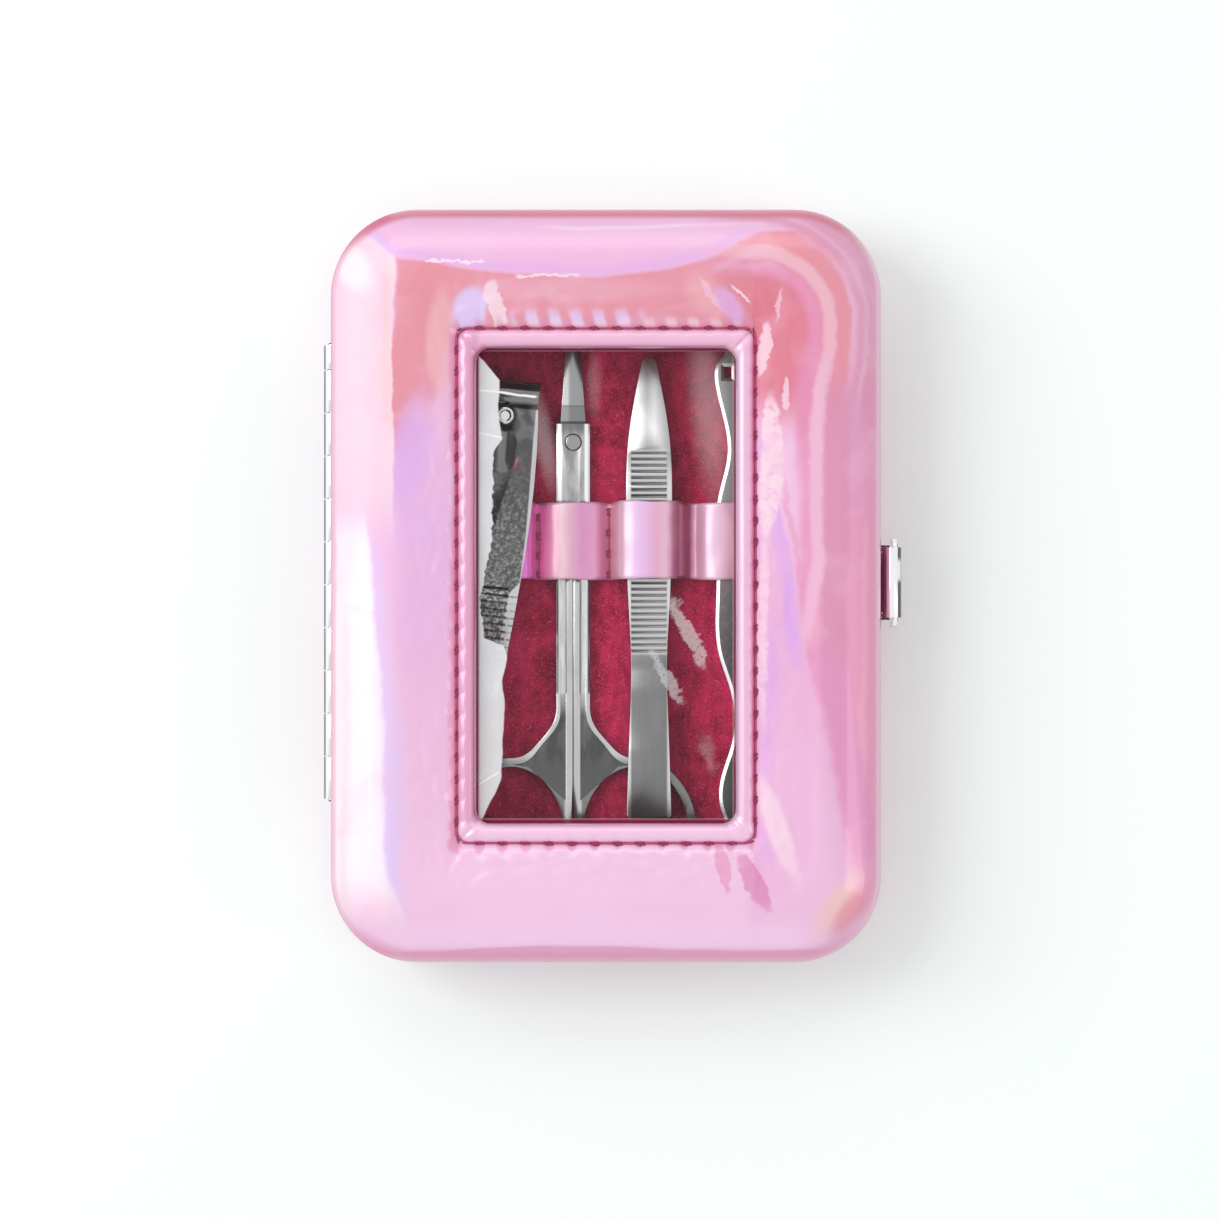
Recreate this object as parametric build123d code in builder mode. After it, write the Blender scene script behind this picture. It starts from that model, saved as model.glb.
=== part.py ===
from build123d import *
from math import cos, radians, sin
import os

# Manicure set case, millimetres. X runs from the hinge (-X) to the clasp (+X), Y up the
# length of the case, Z up. The origin is the centre of the base's flat underside.

# ---- driving dimensions of the case -------------------------------------------------
HALF_X = 38.0  # half the width of the padded covers
HALF_Y = 52.0  # half their length
CORNER = 12.0  # plan radius of the corners
COVER_TOP_OF_BASE = 8.0  # where the base's cover meets its metal frame
BASE_RIM = 11.0  # top of the base's frame
LID_RIM = 11.1  # underside of the lid's frame
COVER_FOOT_OF_LID = 14.1  # where the lid's cover meets its metal frame
LID_TOP = 21.0

SKIN = 0.8  # PU skin
BASE_ROLL = 5.0  # rounding of the base's lower edge
LID_ROLL = 5.8  # rounding of the lid's upper edge
BASE_BROW = 1.0  # bevel of each cover where it meets the rim
LID_BROW = 0.8
SEAM_BEVEL = 0.9  # bevel where the lid's skin turns down to the window seam

# How far each layer of the wall stands in from the cover's outer face.
FRAME_INSET = 1.1
BOARD_INSET = 1.6
BOARD_INNER_INSET = 2.9
FRAME_INNER_INSET = 3.4
LINING_INNER_INSET = 3.6
PANEL_INSET = 3.9

# Bevels of the hidden layers, which follow the rounded skin from inside.
BASE_FOAM_BEVEL = 2.8
LID_FOAM_BEVEL = 3.3
BOARD_BEVEL = 2.4
LID_BOARD_BEVEL = 2.0
LINING_BEVEL = 1.2
RIM_BEVEL = 0.25

FRAME_METAL = 0.5
BASE_BOARD_FOOT = 1.4
BASE_FLOOR = 2.6
LINING_FLOOR = 3.3
PANEL_TOP = 4.7
LINING_CEILING = 16.3
LID_CEILING = 17.0
LID_BOARD_TOP = 18.3
FILM = 0.3

# ---- the window ---------------------------------------------------------------------
WINDOW = (35.4, 65.2, 1.9)  # clear opening: width, length, corner radius
SEAM = (40.8, 70.5, 2.4)  # stitched seam round the binding
LIP = (42.4, 72.1, 3.2)  # outside of the cover's turned-down edge
BOARD_CUT = (38.5, 68.0, 3.0)  # cut-out in board and lining
FILM_SHEET = (43.0, 74.0, 3.0)
BINDING_HEIGHT = 1.8
BINDING_ROLL = 0.8  # rounding of the binding's two upper edges

# ---- the hinge ----------------------------------------------------------------------
HINGE_X = -38.1
HINGE_Z = 11.05
KNUCKLE_R = 1.1
PIN_R = 0.55
RUNNING = 0.05  # radial clearance of whatever turns on a pin
LEAF_INNER_X = -36.9
LEAF_OUTER_X = -37.5
LEAF_STRIP = 1.4  # height of the strip that is riveted to the frame
LEAF_REACH = 2.85  # from the axis to the far edge of the strip
HINGE_TOP_Y = 30.0
SHORT_KNUCKLE = 3.4
KNUCKLE_PITCH = 5.96
KNUCKLE_GAP = 0.15
KNUCKLES = 11

# ---- the clasp ----------------------------------------------------------------------
CLASP_Y = 0.5
CLASP_FACE_X = 36.9  # outer face of the metal frames
CLASP_PLATE = 0.5
BUTTON_PIVOT = (38.9, 9.3)  # X and Z of the button's pin
LATCH_PIN_R = 0.4
BRACKET_HALF = 8.0
EAR_INNER, EAR_OUTER = 3.5, 4.1
CHEEK_INNER, CHEEK_OUTER = 4.3, 4.85
BUTTON_HALF = 6.3
BUTTON_FACE_X = 40.9
BUTTON_METAL = 0.6
BUTTON_LOW, BUTTON_HIGH = 5.8, 13.3
BUTTON_BOW = 0.7  # how far the thumb plate bows outwards
CHEEK_TOP, CHEEK_FOOT = 11.4, 6.8  # height of the cheeks at the thumb plate
HEEL_R = 0.8
PIN_HEAD = 0.3
PIN_HEAD_R = 0.62
HOOK_R = 1.3
NOSE_Z = 12.75
LEDGE_LOW, LEDGE_HIGH, LEDGE_X = 12.0, 12.6, 39.0
LEDGE_HALF = 4.2
PLATE_HEIGHT = 2.6  # of the plates riveted to the two frames
STRIKER_PLATE = 10.0
SPRING_HALF = 2.5
SPRING_METAL = 0.25
# X and Z of the spring leaf, from its rivet down to the back of the thumb plate.
SPRING_ROUTE = [(37.55, 10.3), (37.55, 8.45), (38.7, 8.3), (40.02, 6.9), (40.02, 6.3)]

# ---- the tools ----------------------------------------------------------------------
TOOL_FLOOR = PANEL_TOP + 0.05

SCISSORS_X = -4.6
SCREW_Y = 20.15
SCISSORS_METAL = 1.8
BLADE_LAP = 0.06  # half the play between the two lapped blades
SHOULDER_Y = 22.8
LAP_END_Y = 11.2
TIP_Y = 44.7
SHANK_HALF = 2.35
BLADE_ROOT_HALF, BLADE_MID_HALF, BLADE_TIP_HALF = 1.75, 1.15, 0.25
BLADE_MID_Y = 32.5
SHANK_FOOT_Y = -16.9  # where each shank starts to spread to its ring
SPREAD = (4.75, -21.7)  # a point on the spreading shank, from the parting line and in Y
CHANNEL_DEPTH = 0.45
BEAD_HALF = 0.95  # half-width of the bead between the two pressed channels
CHANNEL_RIM = 0.6
SCREW_R, SCREW_HEAD_R, SCREW_HEAD = 1.0, 1.2, 0.35
RING_CENTRE = (8.75, -34.5)  # from the parting line, and in Y
RING_HOLE = (7.4, 9.25)
RING_BAND = 1.2

TWEEZERS_X = 6.0
TWEEZERS_TILT = 1.525  # degrees: the tail lies on the scissors' ring
TWEEZERS_LIFT = 6.01
ARM_METAL = 0.85
GRIP_TOP = 2.9
WELD = 1.45  # height of the plane where the two arms are welded
WELD_LOW_V, WELD_HIGH_V = -32.4, -24.0  # along the tweezers
BOW_LOW_V, BOW_HIGH_V = -12.0, 20.0
TWEEZERS_TIP_V = 31.9
TIP_GAP_FACE, TIP_TOP = 1.75, 2.35
# Half-width of an arm and where it lies along the tweezers, from the tip to the tail.
ARM_WIDTHS = [
    (0.9, 31.4), (2.15, 25.4), (3.0, 19.0), (3.2, 12.2),
    (2.9, -1.6), (2.5, -9.5), (2.6, -17.4), (3.1, -32.0),
]
TAIL_HALF_WIDTH = 2.8
GRIP_RIDGES, GRIP_PITCH, GRIP_MID_V = 33, 0.865, 4.75
GRIP_HALF = 2.5

PUSHER_X = 19.6
PUSHER_METAL = 1.2
PUSHER_END = 43.0  # how far the scoop and the pick reach from the middle
PICK_HALF = 0.9
HANG_HOLE = (17.05, 29.95, 1.05, 1.6)  # X, Y, width and length of the square hole

CLIPPER_POST = (-14.0, 23.7)
CLIPPER_TURN = 5.75  # degrees from -Y towards -X
JAW_FOOT = 5.3
JAW_METAL = 1.0
LEVER_FOOT = 10.2
LEVER_METAL = 1.0

STRAP_METAL = 0.7
STRAP_LOW_Y, STRAP_HIGH_Y = 1.1, 11.9


# ---- shared forms -------------------------------------------------------------------
def layer(inset, low, high, rounds=(0, 0), bevels=(0, 0)):
    """A block of the case's plan outline, drawn in by inset. Its lower and upper rims
    are rounded where the surface shows, or bevelled where it is hidden in the wall."""
    with BuildPart() as block:
        with BuildSketch(Plane.XY.offset(low)):
            RectangleRounded(2 * (HALF_X - inset), 2 * (HALF_Y - inset), CORNER - inset)
        extrude(amount=high - low)
        for rim, radius, bevel in zip((0, -1), rounds, bevels):
            if radius:
                fillet(block.edges().group_by(Axis.Z)[rim], radius)
            if bevel:
                chamfer(block.edges().group_by(Axis.Z)[rim], bevel)
    return block.part


def window_block(size, low, high):
    """A block of one of the window's outlines."""
    width, length, radius = size
    with BuildPart() as block:
        with BuildSketch(Plane.XY.offset(low)):
            RectangleRounded(width, length, radius)
        extrude(amount=high - low)
    return block.part


def channel(web, walls):
    """The folded rim channel: a flat web with an outer and an inner wall along it."""
    low, high = min(web[0], walls[0]), max(web[1], walls[1])
    rim_bevels = (0, RIM_BEVEL) if web[0] > walls[0] else (RIM_BEVEL, 0)
    with BuildPart() as rim:
        add(layer(FRAME_INSET, low, high, bevels=rim_bevels))
        add(layer(FRAME_INNER_INSET, low, high), mode=Mode.SUBTRACT)
        with BuildPart(mode=Mode.SUBTRACT):
            add(layer(BOARD_INSET, *walls))
            add(layer(BOARD_INNER_INSET, *walls), mode=Mode.SUBTRACT)
    return rim.part


def save(builder, name):
    """Label the finished piece and write it."""
    builder.part.label = name
    export_step(builder.part, f"parts/{name}.step")


os.makedirs("parts", exist_ok=True)

# ---- base: skin, foam, board, velvet, rim -------------------------------------------
with BuildPart() as base_cover:
    add(layer(0, 0, COVER_TOP_OF_BASE, rounds=(BASE_ROLL, 0), bevels=(0, BASE_BROW)))
    add(layer(SKIN, SKIN, COVER_TOP_OF_BASE - SKIN, bevels=(BASE_FOAM_BEVEL, 0)), mode=Mode.SUBTRACT)
    add(layer(BOARD_INSET, COVER_TOP_OF_BASE / 2, COVER_TOP_OF_BASE), mode=Mode.SUBTRACT)
save(base_cover, "base_cover")

with BuildPart() as base_padding:
    add(layer(SKIN, SKIN, COVER_TOP_OF_BASE - SKIN, bevels=(BASE_FOAM_BEVEL, 0)))
    add(layer(BOARD_INSET, BASE_BOARD_FOOT, COVER_TOP_OF_BASE, bevels=(BOARD_BEVEL, 0)), mode=Mode.SUBTRACT)
save(base_padding, "base_padding")

with BuildPart() as base_shell:
    add(layer(BOARD_INSET, BASE_BOARD_FOOT, BASE_RIM - FRAME_METAL, bevels=(BOARD_BEVEL, 0)))
    add(layer(BOARD_INNER_INSET, BASE_FLOOR, BASE_RIM, bevels=(LINING_BEVEL, 0)), mode=Mode.SUBTRACT)
save(base_shell, "base_shell")

with BuildPart() as base_lining:
    add(layer(BOARD_INNER_INSET, BASE_FLOOR, COVER_TOP_OF_BASE, bevels=(LINING_BEVEL, 0)))
    add(layer(LINING_INNER_INSET, LINING_FLOOR, BASE_RIM), mode=Mode.SUBTRACT)
save(base_lining, "base_lining")

with BuildPart() as base_frame:
    add(channel((BASE_RIM - FRAME_METAL, BASE_RIM), (COVER_TOP_OF_BASE, BASE_RIM - FRAME_METAL)))
save(base_frame, "base_frame")

with BuildPart() as tool_panel:
    add(layer(PANEL_INSET, LINING_FLOOR, PANEL_TOP, bevels=(0, 0.5)))
save(tool_panel, "tool_panel")

# ---- lid: rim, board, velvet, foam, skin --------------------------------------------
with BuildPart() as lid_frame:
    add(channel((LID_RIM, LID_RIM + FRAME_METAL), (LID_RIM + FRAME_METAL, COVER_FOOT_OF_LID)))
save(lid_frame, "lid_frame")

with BuildPart() as lid_shell:
    add(layer(BOARD_INSET, LID_RIM + FRAME_METAL, LID_BOARD_TOP, bevels=(0, LID_BOARD_BEVEL)))
    add(layer(BOARD_INNER_INSET, LID_RIM, LID_CEILING, bevels=(0, LINING_BEVEL)), mode=Mode.SUBTRACT)
    add(window_block(BOARD_CUT, LID_RIM, LID_TOP), mode=Mode.SUBTRACT)
save(lid_shell, "lid_shell")

with BuildPart() as lid_lining:
    add(layer(BOARD_INNER_INSET, LID_RIM, LID_CEILING, bevels=(0, LINING_BEVEL)))
    add(layer(LINING_INNER_INSET, LID_RIM, LINING_CEILING, bevels=(0, LINING_BEVEL)), mode=Mode.SUBTRACT)
    add(layer(0, LID_RIM, COVER_FOOT_OF_LID), mode=Mode.SUBTRACT)
    add(window_block(BOARD_CUT, LID_RIM, LID_TOP), mode=Mode.SUBTRACT)
save(lid_lining, "lid_lining")

with BuildPart() as lid_padding:
    add(layer(SKIN, COVER_FOOT_OF_LID + SKIN, LID_TOP - SKIN, bevels=(0, LID_FOAM_BEVEL)))
    add(layer(BOARD_INSET, LID_RIM, LID_BOARD_TOP, bevels=(0, LID_BOARD_BEVEL)), mode=Mode.SUBTRACT)
    add(window_block(LIP, LID_BOARD_TOP, LID_TOP), mode=Mode.SUBTRACT)
    add(window_block(FILM_SHEET, LID_BOARD_TOP, LID_BOARD_TOP + FILM), mode=Mode.SUBTRACT)
save(lid_padding, "lid_padding")

with BuildPart() as lid_cover:
    add(layer(0, COVER_FOOT_OF_LID, LID_TOP, rounds=(0, LID_ROLL), bevels=(LID_BROW, 0)))
    foam_room = layer(SKIN, COVER_FOOT_OF_LID + SKIN, LID_TOP - SKIN, bevels=(0, LID_FOAM_BEVEL))
    add(foam_room, mode=Mode.SUBTRACT)
    add(layer(BOARD_INSET, LID_RIM, LID_BOARD_TOP - 2), mode=Mode.SUBTRACT)
    # The skin turns down to the film at the seam.
    add(window_block(LIP, LID_BOARD_TOP + FILM, LID_TOP - SKIN / 2))
    add(window_block(SEAM, LID_RIM, LID_TOP), mode=Mode.SUBTRACT)
    chamfer(lid_cover.edges().group_by(Axis.Z)[-1], SEAM_BEVEL)
save(lid_cover, "lid_cover")

# ---- the window: binding and film ---------------------------------------------------
with BuildPart() as window_binding:
    add(window_block(SEAM, LID_BOARD_TOP + FILM, LID_BOARD_TOP + FILM + BINDING_HEIGHT))
    add(window_block(WINDOW, LID_BOARD_TOP, LID_TOP), mode=Mode.SUBTRACT)
    fillet(window_binding.edges().group_by(Axis.Z)[-1], BINDING_ROLL)
save(window_binding, "window_binding")

with BuildPart() as window_film:
    add(window_block(FILM_SHEET, LID_BOARD_TOP, LID_BOARD_TOP + FILM))
save(window_film, "window_film")


# ---- hinge --------------------------------------------------------------------------
def knuckle_span(index):
    """Low and high Y of one knuckle, counted from the short one at the top."""
    if index == 0:
        return HINGE_TOP_Y + KNUCKLE_GAP / 2, HINGE_TOP_Y + SHORT_KNUCKLE
    high = HINGE_TOP_Y - (index - 1) * KNUCKLE_PITCH - KNUCKLE_GAP / 2
    return high - KNUCKLE_PITCH + KNUCKLE_GAP, high


HINGE_END_LOW = knuckle_span(KNUCKLES - 1)[0]
HINGE_END_HIGH = knuckle_span(0)[1]


def hinge_leaf(first_knuckle, side, hole_r):
    """A leaf: a strip along the frame with tabs that roll into every other knuckle."""
    with BuildPart() as leaf:
        strip_mid = HINGE_Z + side * (LEAF_REACH - LEAF_STRIP / 2)
        with BuildSketch(Plane.YZ.offset(LEAF_OUTER_X)):
            with Locations(((HINGE_END_LOW + HINGE_END_HIGH) / 2, strip_mid)):
                RectangleRounded(HINGE_END_HIGH - HINGE_END_LOW, LEAF_STRIP, 0.3)
        extrude(amount=LEAF_INNER_X - LEAF_OUTER_X)
        for index in range(first_knuckle, KNUCKLES, 2):
            low, high = knuckle_span(index)
            with BuildSketch(Plane.XZ.offset(-high)):
                with Locations((HINGE_X, HINGE_Z)):
                    Circle(KNUCKLE_R)
                tab_mid_x = (LEAF_OUTER_X + LEAF_INNER_X) / 2
                tab_height = LEAF_REACH - LEAF_STRIP + 0.2
                with Locations((tab_mid_x, HINGE_Z + side * tab_height / 2)):
                    Rectangle(LEAF_INNER_X - LEAF_OUTER_X, tab_height)
                with Locations((HINGE_X, HINGE_Z)):
                    Circle(hole_r, mode=Mode.SUBTRACT)
            extrude(amount=high - low)
    return leaf.part


with BuildPart() as base_hinge_leaf:
    add(hinge_leaf(1, -1, PIN_R))
save(base_hinge_leaf, "base_hinge_leaf")

with BuildPart() as lid_hinge_leaf:
    add(hinge_leaf(0, 1, PIN_R + RUNNING))
save(lid_hinge_leaf, "lid_hinge_leaf")

with BuildPart() as hinge_pin:
    with BuildSketch(Plane.XZ.offset(-HINGE_END_HIGH - 0.4)):
        with Locations((HINGE_X, HINGE_Z)):
            Circle(PIN_R)
    extrude(amount=HINGE_END_HIGH - HINGE_END_LOW + 0.8)
    chamfer(hinge_pin.edges().filter_by(GeomType.CIRCLE), 0.2)
save(hinge_pin, "hinge_pin")


# ---- clasp --------------------------------------------------------------------------
def across(low_y, high_y):
    """Sketch plane across the clasp, from which an extrusion runs down to low_y."""
    return Plane.XZ.offset(-(CLASP_Y + high_y)), high_y - low_y


with BuildPart() as latch_bracket:
    with BuildSketch(Plane.YZ.offset(CLASP_FACE_X)):
        with Locations((CLASP_Y, (COVER_TOP_OF_BASE + BASE_RIM) / 2)):
            RectangleRounded(2 * BRACKET_HALF, PLATE_HEIGHT, 0.8)
    extrude(amount=CLASP_PLATE)
    for low_y in (-EAR_OUTER, EAR_INNER):
        plane, width = across(low_y, low_y + EAR_OUTER - EAR_INNER)
        with BuildSketch(plane):
            with Locations(BUTTON_PIVOT):
                Circle(HEEL_R)
            with Locations(((CLASP_FACE_X + BUTTON_PIVOT[0]) / 2, BUTTON_PIVOT[1])):
                Rectangle(BUTTON_PIVOT[0] - CLASP_FACE_X, 2 * HEEL_R)
            with Locations(BUTTON_PIVOT):
                Circle(LATCH_PIN_R, mode=Mode.SUBTRACT)
        extrude(amount=width)
save(latch_bracket, "latch_bracket")

with BuildPart() as latch_pin:
    head_at = CHEEK_OUTER + RUNNING
    pin_pieces = (
        (-head_at, head_at, LATCH_PIN_R),
        (-head_at - PIN_HEAD, -head_at, PIN_HEAD_R),
        (head_at, head_at + PIN_HEAD, PIN_HEAD_R),
    )
    for low_y, high_y, radius in pin_pieces:
        plane, width = across(low_y, high_y)
        with BuildSketch(plane):
            with Locations(BUTTON_PIVOT):
                Circle(radius)
        extrude(amount=width)
save(latch_pin, "latch_pin")

with BuildPart() as latch_button:
    # The thumb plate, bowed outwards in plan.
    with BuildSketch(Plane.XY.offset(BUTTON_LOW)):
        with BuildLine():
            left = (BUTTON_FACE_X - BUTTON_BOW, CLASP_Y + BUTTON_HALF)
            right = (BUTTON_FACE_X - BUTTON_BOW, CLASP_Y - BUTTON_HALF)
            outer = ThreePointArc(left, (BUTTON_FACE_X, CLASP_Y), right)
            inner = ThreePointArc(
                (left[0] - BUTTON_METAL, left[1]),
                (BUTTON_FACE_X - BUTTON_METAL, CLASP_Y),
                (right[0] - BUTTON_METAL, right[1]),
            )
            Line(outer @ 0, inner @ 0)
            Line(outer @ 1, inner @ 1)
        make_face()
    extrude(amount=BUTTON_HIGH - BUTTON_LOW)
    plate_corners = latch_button.edges().filter_by(Axis.X).group_by(Axis.Y)
    fillet(plate_corners[0] + plate_corners[-1], 1.5)
    # The hook: a strip that rolls over the striker's ledge and comes down behind it.
    hook_mid_x = BUTTON_FACE_X - HOOK_R
    plane, width = across(-CHEEK_OUTER, CHEEK_OUTER)
    with BuildSketch(plane):
        with BuildLine():
            roll = CenterArc((hook_mid_x, BUTTON_HIGH), HOOK_R - BUTTON_METAL / 2, 0, 180)
            Line(roll @ 0, (BUTTON_FACE_X - BUTTON_METAL / 2, BUTTON_HIGH - 2.0))
            Line(roll @ 1, (hook_mid_x - HOOK_R + BUTTON_METAL / 2, NOSE_Z))
        trace(line_width=BUTTON_METAL)
    extrude(amount=width)
    # Two cheeks that hang the plate on its pin.
    for low_y in (-CHEEK_OUTER, CHEEK_INNER):
        plane, width = across(low_y, low_y + CHEEK_OUTER - CHEEK_INNER)
        with BuildSketch(plane):
            with BuildLine():
                heel = CenterArc(BUTTON_PIVOT, HEEL_R, 90, 180)
                plate_x = BUTTON_FACE_X - BUTTON_METAL / 2
                Polyline(
                    heel @ 0,
                    (plate_x - 0.4, CHEEK_TOP),
                    (plate_x, CHEEK_TOP),
                    (plate_x, CHEEK_FOOT),
                    (plate_x - 0.4, CHEEK_FOOT),
                    heel @ 1,
                )
            make_face()
            with Locations(BUTTON_PIVOT):
                Circle(LATCH_PIN_R + RUNNING, mode=Mode.SUBTRACT)
        extrude(amount=width)
save(latch_button, "latch_button")

with BuildPart() as latch_spring:
    plane, width = across(-SPRING_HALF, SPRING_HALF)
    with BuildSketch(plane):
        with BuildLine():
            FilletPolyline(*SPRING_ROUTE, radius=0.3)
        trace(line_width=SPRING_METAL)
    extrude(amount=width)
save(latch_spring, "latch_spring")

with BuildPart() as lid_striker:
    with BuildSketch(Plane.YZ.offset(CLASP_FACE_X)):
        with Locations((CLASP_Y, (LID_RIM + COVER_FOOT_OF_LID) / 2)):
            RectangleRounded(STRIKER_PLATE, PLATE_HEIGHT, 0.5)
    extrude(amount=CLASP_PLATE)
    plane, width = across(-LEDGE_HALF, LEDGE_HALF)
    with BuildSketch(plane):
        with Locations(((CLASP_FACE_X + LEDGE_X) / 2, (LEDGE_LOW + LEDGE_HIGH) / 2)):
            RectangleRounded(LEDGE_X - CLASP_FACE_X, LEDGE_HIGH - LEDGE_LOW, 0.25)
    extrude(amount=width)
save(lid_striker, "lid_striker")


# ---- scissors -----------------------------------------------------------------------
def shank_edge(side, inset, top_y, end, start_dx=0.0):
    """The outer edge of one shank: straight down, then spreading out over its ring."""
    outer = SCISSORS_X + side * (SHANK_HALF - inset)
    straight = Line((outer, top_y), (outer, SHANK_FOOT_Y - start_dx))
    spread_x = SCISSORS_X + side * (SPREAD[0] - inset / 2)
    Spline(straight @ 1, (spread_x, SPREAD[1] - inset), end, tangents=((0, -1), (side, 0)))
    return straight @ 0


def scissor_half(side, lap_low, lap_high):
    """One half: blade and lap plate in one layer, shank and ring in full thickness."""
    parting = SCISSORS_X + side * BLADE_LAP
    ring = (SCISSORS_X + side * RING_CENTRE[0], RING_CENTRE[1])
    ring_top = (ring[0], ring[1] + RING_HOLE[1] + RING_BAND)
    shank_top = LAP_END_Y - 0.3
    with BuildPart() as half:
        # Shank, web and ring.
        with BuildSketch(Plane.XY.offset(TOOL_FLOOR)):
            with BuildLine():
                shank_corner = shank_edge(side, 0, shank_top, ring_top)
                Polyline(ring_top, ring, (parting, ring[1]), (parting, shank_top), shank_corner)
            make_face()
            with Locations(ring):
                Ellipse(RING_HOLE[0] + RING_BAND, RING_HOLE[1] + RING_BAND)
                Ellipse(*RING_HOLE, mode=Mode.SUBTRACT)
        extrude(amount=SCISSORS_METAL)
        # Nothing of this half crosses the parting line below the lap.
        with BuildSketch(Plane.XY.offset(TOOL_FLOOR)):
            with Locations((parting - side * 6, -20)):
                Rectangle(12, 64)
        extrude(amount=SCISSORS_METAL, mode=Mode.SUBTRACT)
        # The channel pressed into the upper face leaves a rim and a centre bead standing.
        with BuildSketch(Plane.XY.offset(TOOL_FLOOR + SCISSORS_METAL)):
            with BuildLine():
                bead_edge = parting + side * BEAD_HALF
                web_end = (ring_top[0] - side * 0.5, ring_top[1] - 0.9)
                channel_corner = shank_edge(side, CHANNEL_RIM, shank_top, web_end, 0.4)
                web_corner = (ring_top[0] - side * 2.5, ring_top[1] - 1.2)
                Polyline(web_end, web_corner, (bead_edge, -30.0), (bead_edge, shank_top), channel_corner)
            make_face()
        extrude(amount=-CHANNEL_DEPTH, mode=Mode.SUBTRACT)
        # Lap plate and blade, drawn as one half and mirrored.
        with BuildSketch(Plane.XY.offset(lap_low)):
            with BuildLine():
                Polyline(
                    (SCISSORS_X, LAP_END_Y),
                    (SCISSORS_X + SHANK_HALF, LAP_END_Y),
                    (SCISSORS_X + SHANK_HALF, SHOULDER_Y),
                    (SCISSORS_X + BLADE_ROOT_HALF, SHOULDER_Y),
                    (SCISSORS_X + BLADE_MID_HALF, BLADE_MID_Y),
                    (SCISSORS_X + BLADE_TIP_HALF, TIP_Y),
                    (SCISSORS_X, TIP_Y),
                )
                mirror(about=Plane.YZ.offset(SCISSORS_X))
            make_face()
        extrude(amount=lap_high - lap_low)
        # The lap plate is one with its own shank.
        with BuildSketch(Plane.XY.offset(lap_low)):
            with Locations((SCISSORS_X + side * (SHANK_HALF / 2 + 0.1), LAP_END_Y)):
                Rectangle(SHANK_HALF - 0.2, 1.2)
        extrude(amount=lap_high - lap_low)
        with Locations((SCISSORS_X, SCREW_Y, lap_low)):
            Cylinder(SCREW_R + RUNNING, 6, mode=Mode.SUBTRACT)
    return half.part


LAP_MID = TOOL_FLOOR + SCISSORS_METAL / 2

with BuildPart() as scissors_left:
    add(scissor_half(-1, TOOL_FLOOR, LAP_MID - BLADE_LAP))
save(scissors_left, "scissors_left")

with BuildPart() as scissors_right:
    add(scissor_half(1, LAP_MID + BLADE_LAP, TOOL_FLOOR + SCISSORS_METAL))
save(scissors_right, "scissors_right")

with BuildPart() as scissors_screw:
    with Locations((SCISSORS_X, SCREW_Y, TOOL_FLOOR)):
        Cylinder(SCREW_R, SCISSORS_METAL, align=(Align.CENTER, Align.CENTER, Align.MIN))
    with Locations((SCISSORS_X, SCREW_Y, TOOL_FLOOR + SCISSORS_METAL)):
        Cylinder(SCREW_HEAD_R, SCREW_HEAD, align=(Align.CENTER, Align.CENTER, Align.MIN))
    chamfer(scissors_screw.edges().group_by(Axis.Z)[-1], 0.18)
save(scissors_screw, "scissors_screw")

# ---- tweezers -----------------------------------------------------------------------
TILT = radians(TWEEZERS_TILT)
TWEEZERS_PLAN = Plane(
    origin=(TWEEZERS_X, 0, TWEEZERS_LIFT), x_dir=(1, 0, 0), z_dir=(0, sin(TILT), cos(TILT))
)
TWEEZERS_SIDE = Plane(
    origin=(TWEEZERS_X, 0, TWEEZERS_LIFT), x_dir=(0, cos(TILT), -sin(TILT)), z_dir=(1, 0, 0)
)


def tweezer_arm(flip):
    """A pressed spring arm: a bowed strip cut to its plan outline, with a ridged grip."""
    with BuildPart() as arm:
        with BuildSketch(TWEEZERS_SIDE):
            with BuildLine():
                bow_inner = GRIP_TOP - ARM_METAL
                weld_outer = WELD + ARM_METAL
                rise = ((1, 0), (1, 0))
                Line((WELD_LOW_V, WELD), (WELD_HIGH_V, WELD))
                Spline((WELD_HIGH_V, WELD), (BOW_LOW_V, bow_inner), tangents=rise)
                Polyline(
                    (BOW_LOW_V, bow_inner),
                    (BOW_HIGH_V, bow_inner),
                    (TWEEZERS_TIP_V, TIP_GAP_FACE),
                    (TWEEZERS_TIP_V, TIP_TOP),
                    (BOW_HIGH_V, GRIP_TOP),
                    (BOW_LOW_V, GRIP_TOP),
                )
                Spline((WELD_HIGH_V, weld_outer), (BOW_LOW_V, GRIP_TOP), tangents=rise)
                Polyline((WELD_HIGH_V, weld_outer), (WELD_LOW_V, weld_outer), (WELD_LOW_V, WELD))
            make_face()
        extrude(amount=4, both=True)
        with BuildSketch(TWEEZERS_PLAN):
            with BuildLine():
                right_edge = Spline(*ARM_WIDTHS)
                left_edge = Spline(*[(-half, along) for half, along in ARM_WIDTHS])
                ThreePointArc(left_edge @ 0, (0, TWEEZERS_TIP_V), right_edge @ 0)
                tail = [(TAIL_HALF_WIDTH, WELD_LOW_V), (-TAIL_HALF_WIDTH, WELD_LOW_V)]
                Polyline(right_edge @ 1, *tail, left_edge @ 1)
            make_face()
        extrude(amount=4, mode=Mode.INTERSECT)
        with BuildSketch(TWEEZERS_SIDE):
            with Locations((GRIP_MID_V, GRIP_TOP + 0.05)):
                with GridLocations(GRIP_PITCH, 1, GRIP_RIDGES, 1):
                    Rectangle(0.42, 0.42, rotation=45)
        extrude(amount=GRIP_HALF, both=True, mode=Mode.SUBTRACT)
    if flip:
        mid_plane = TWEEZERS_PLAN.offset(WELD)
        return mirror(arm.part, about=mid_plane)
    return arm.part


upper_arm = tweezer_arm(False)
lower_arm = tweezer_arm(True)

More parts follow.
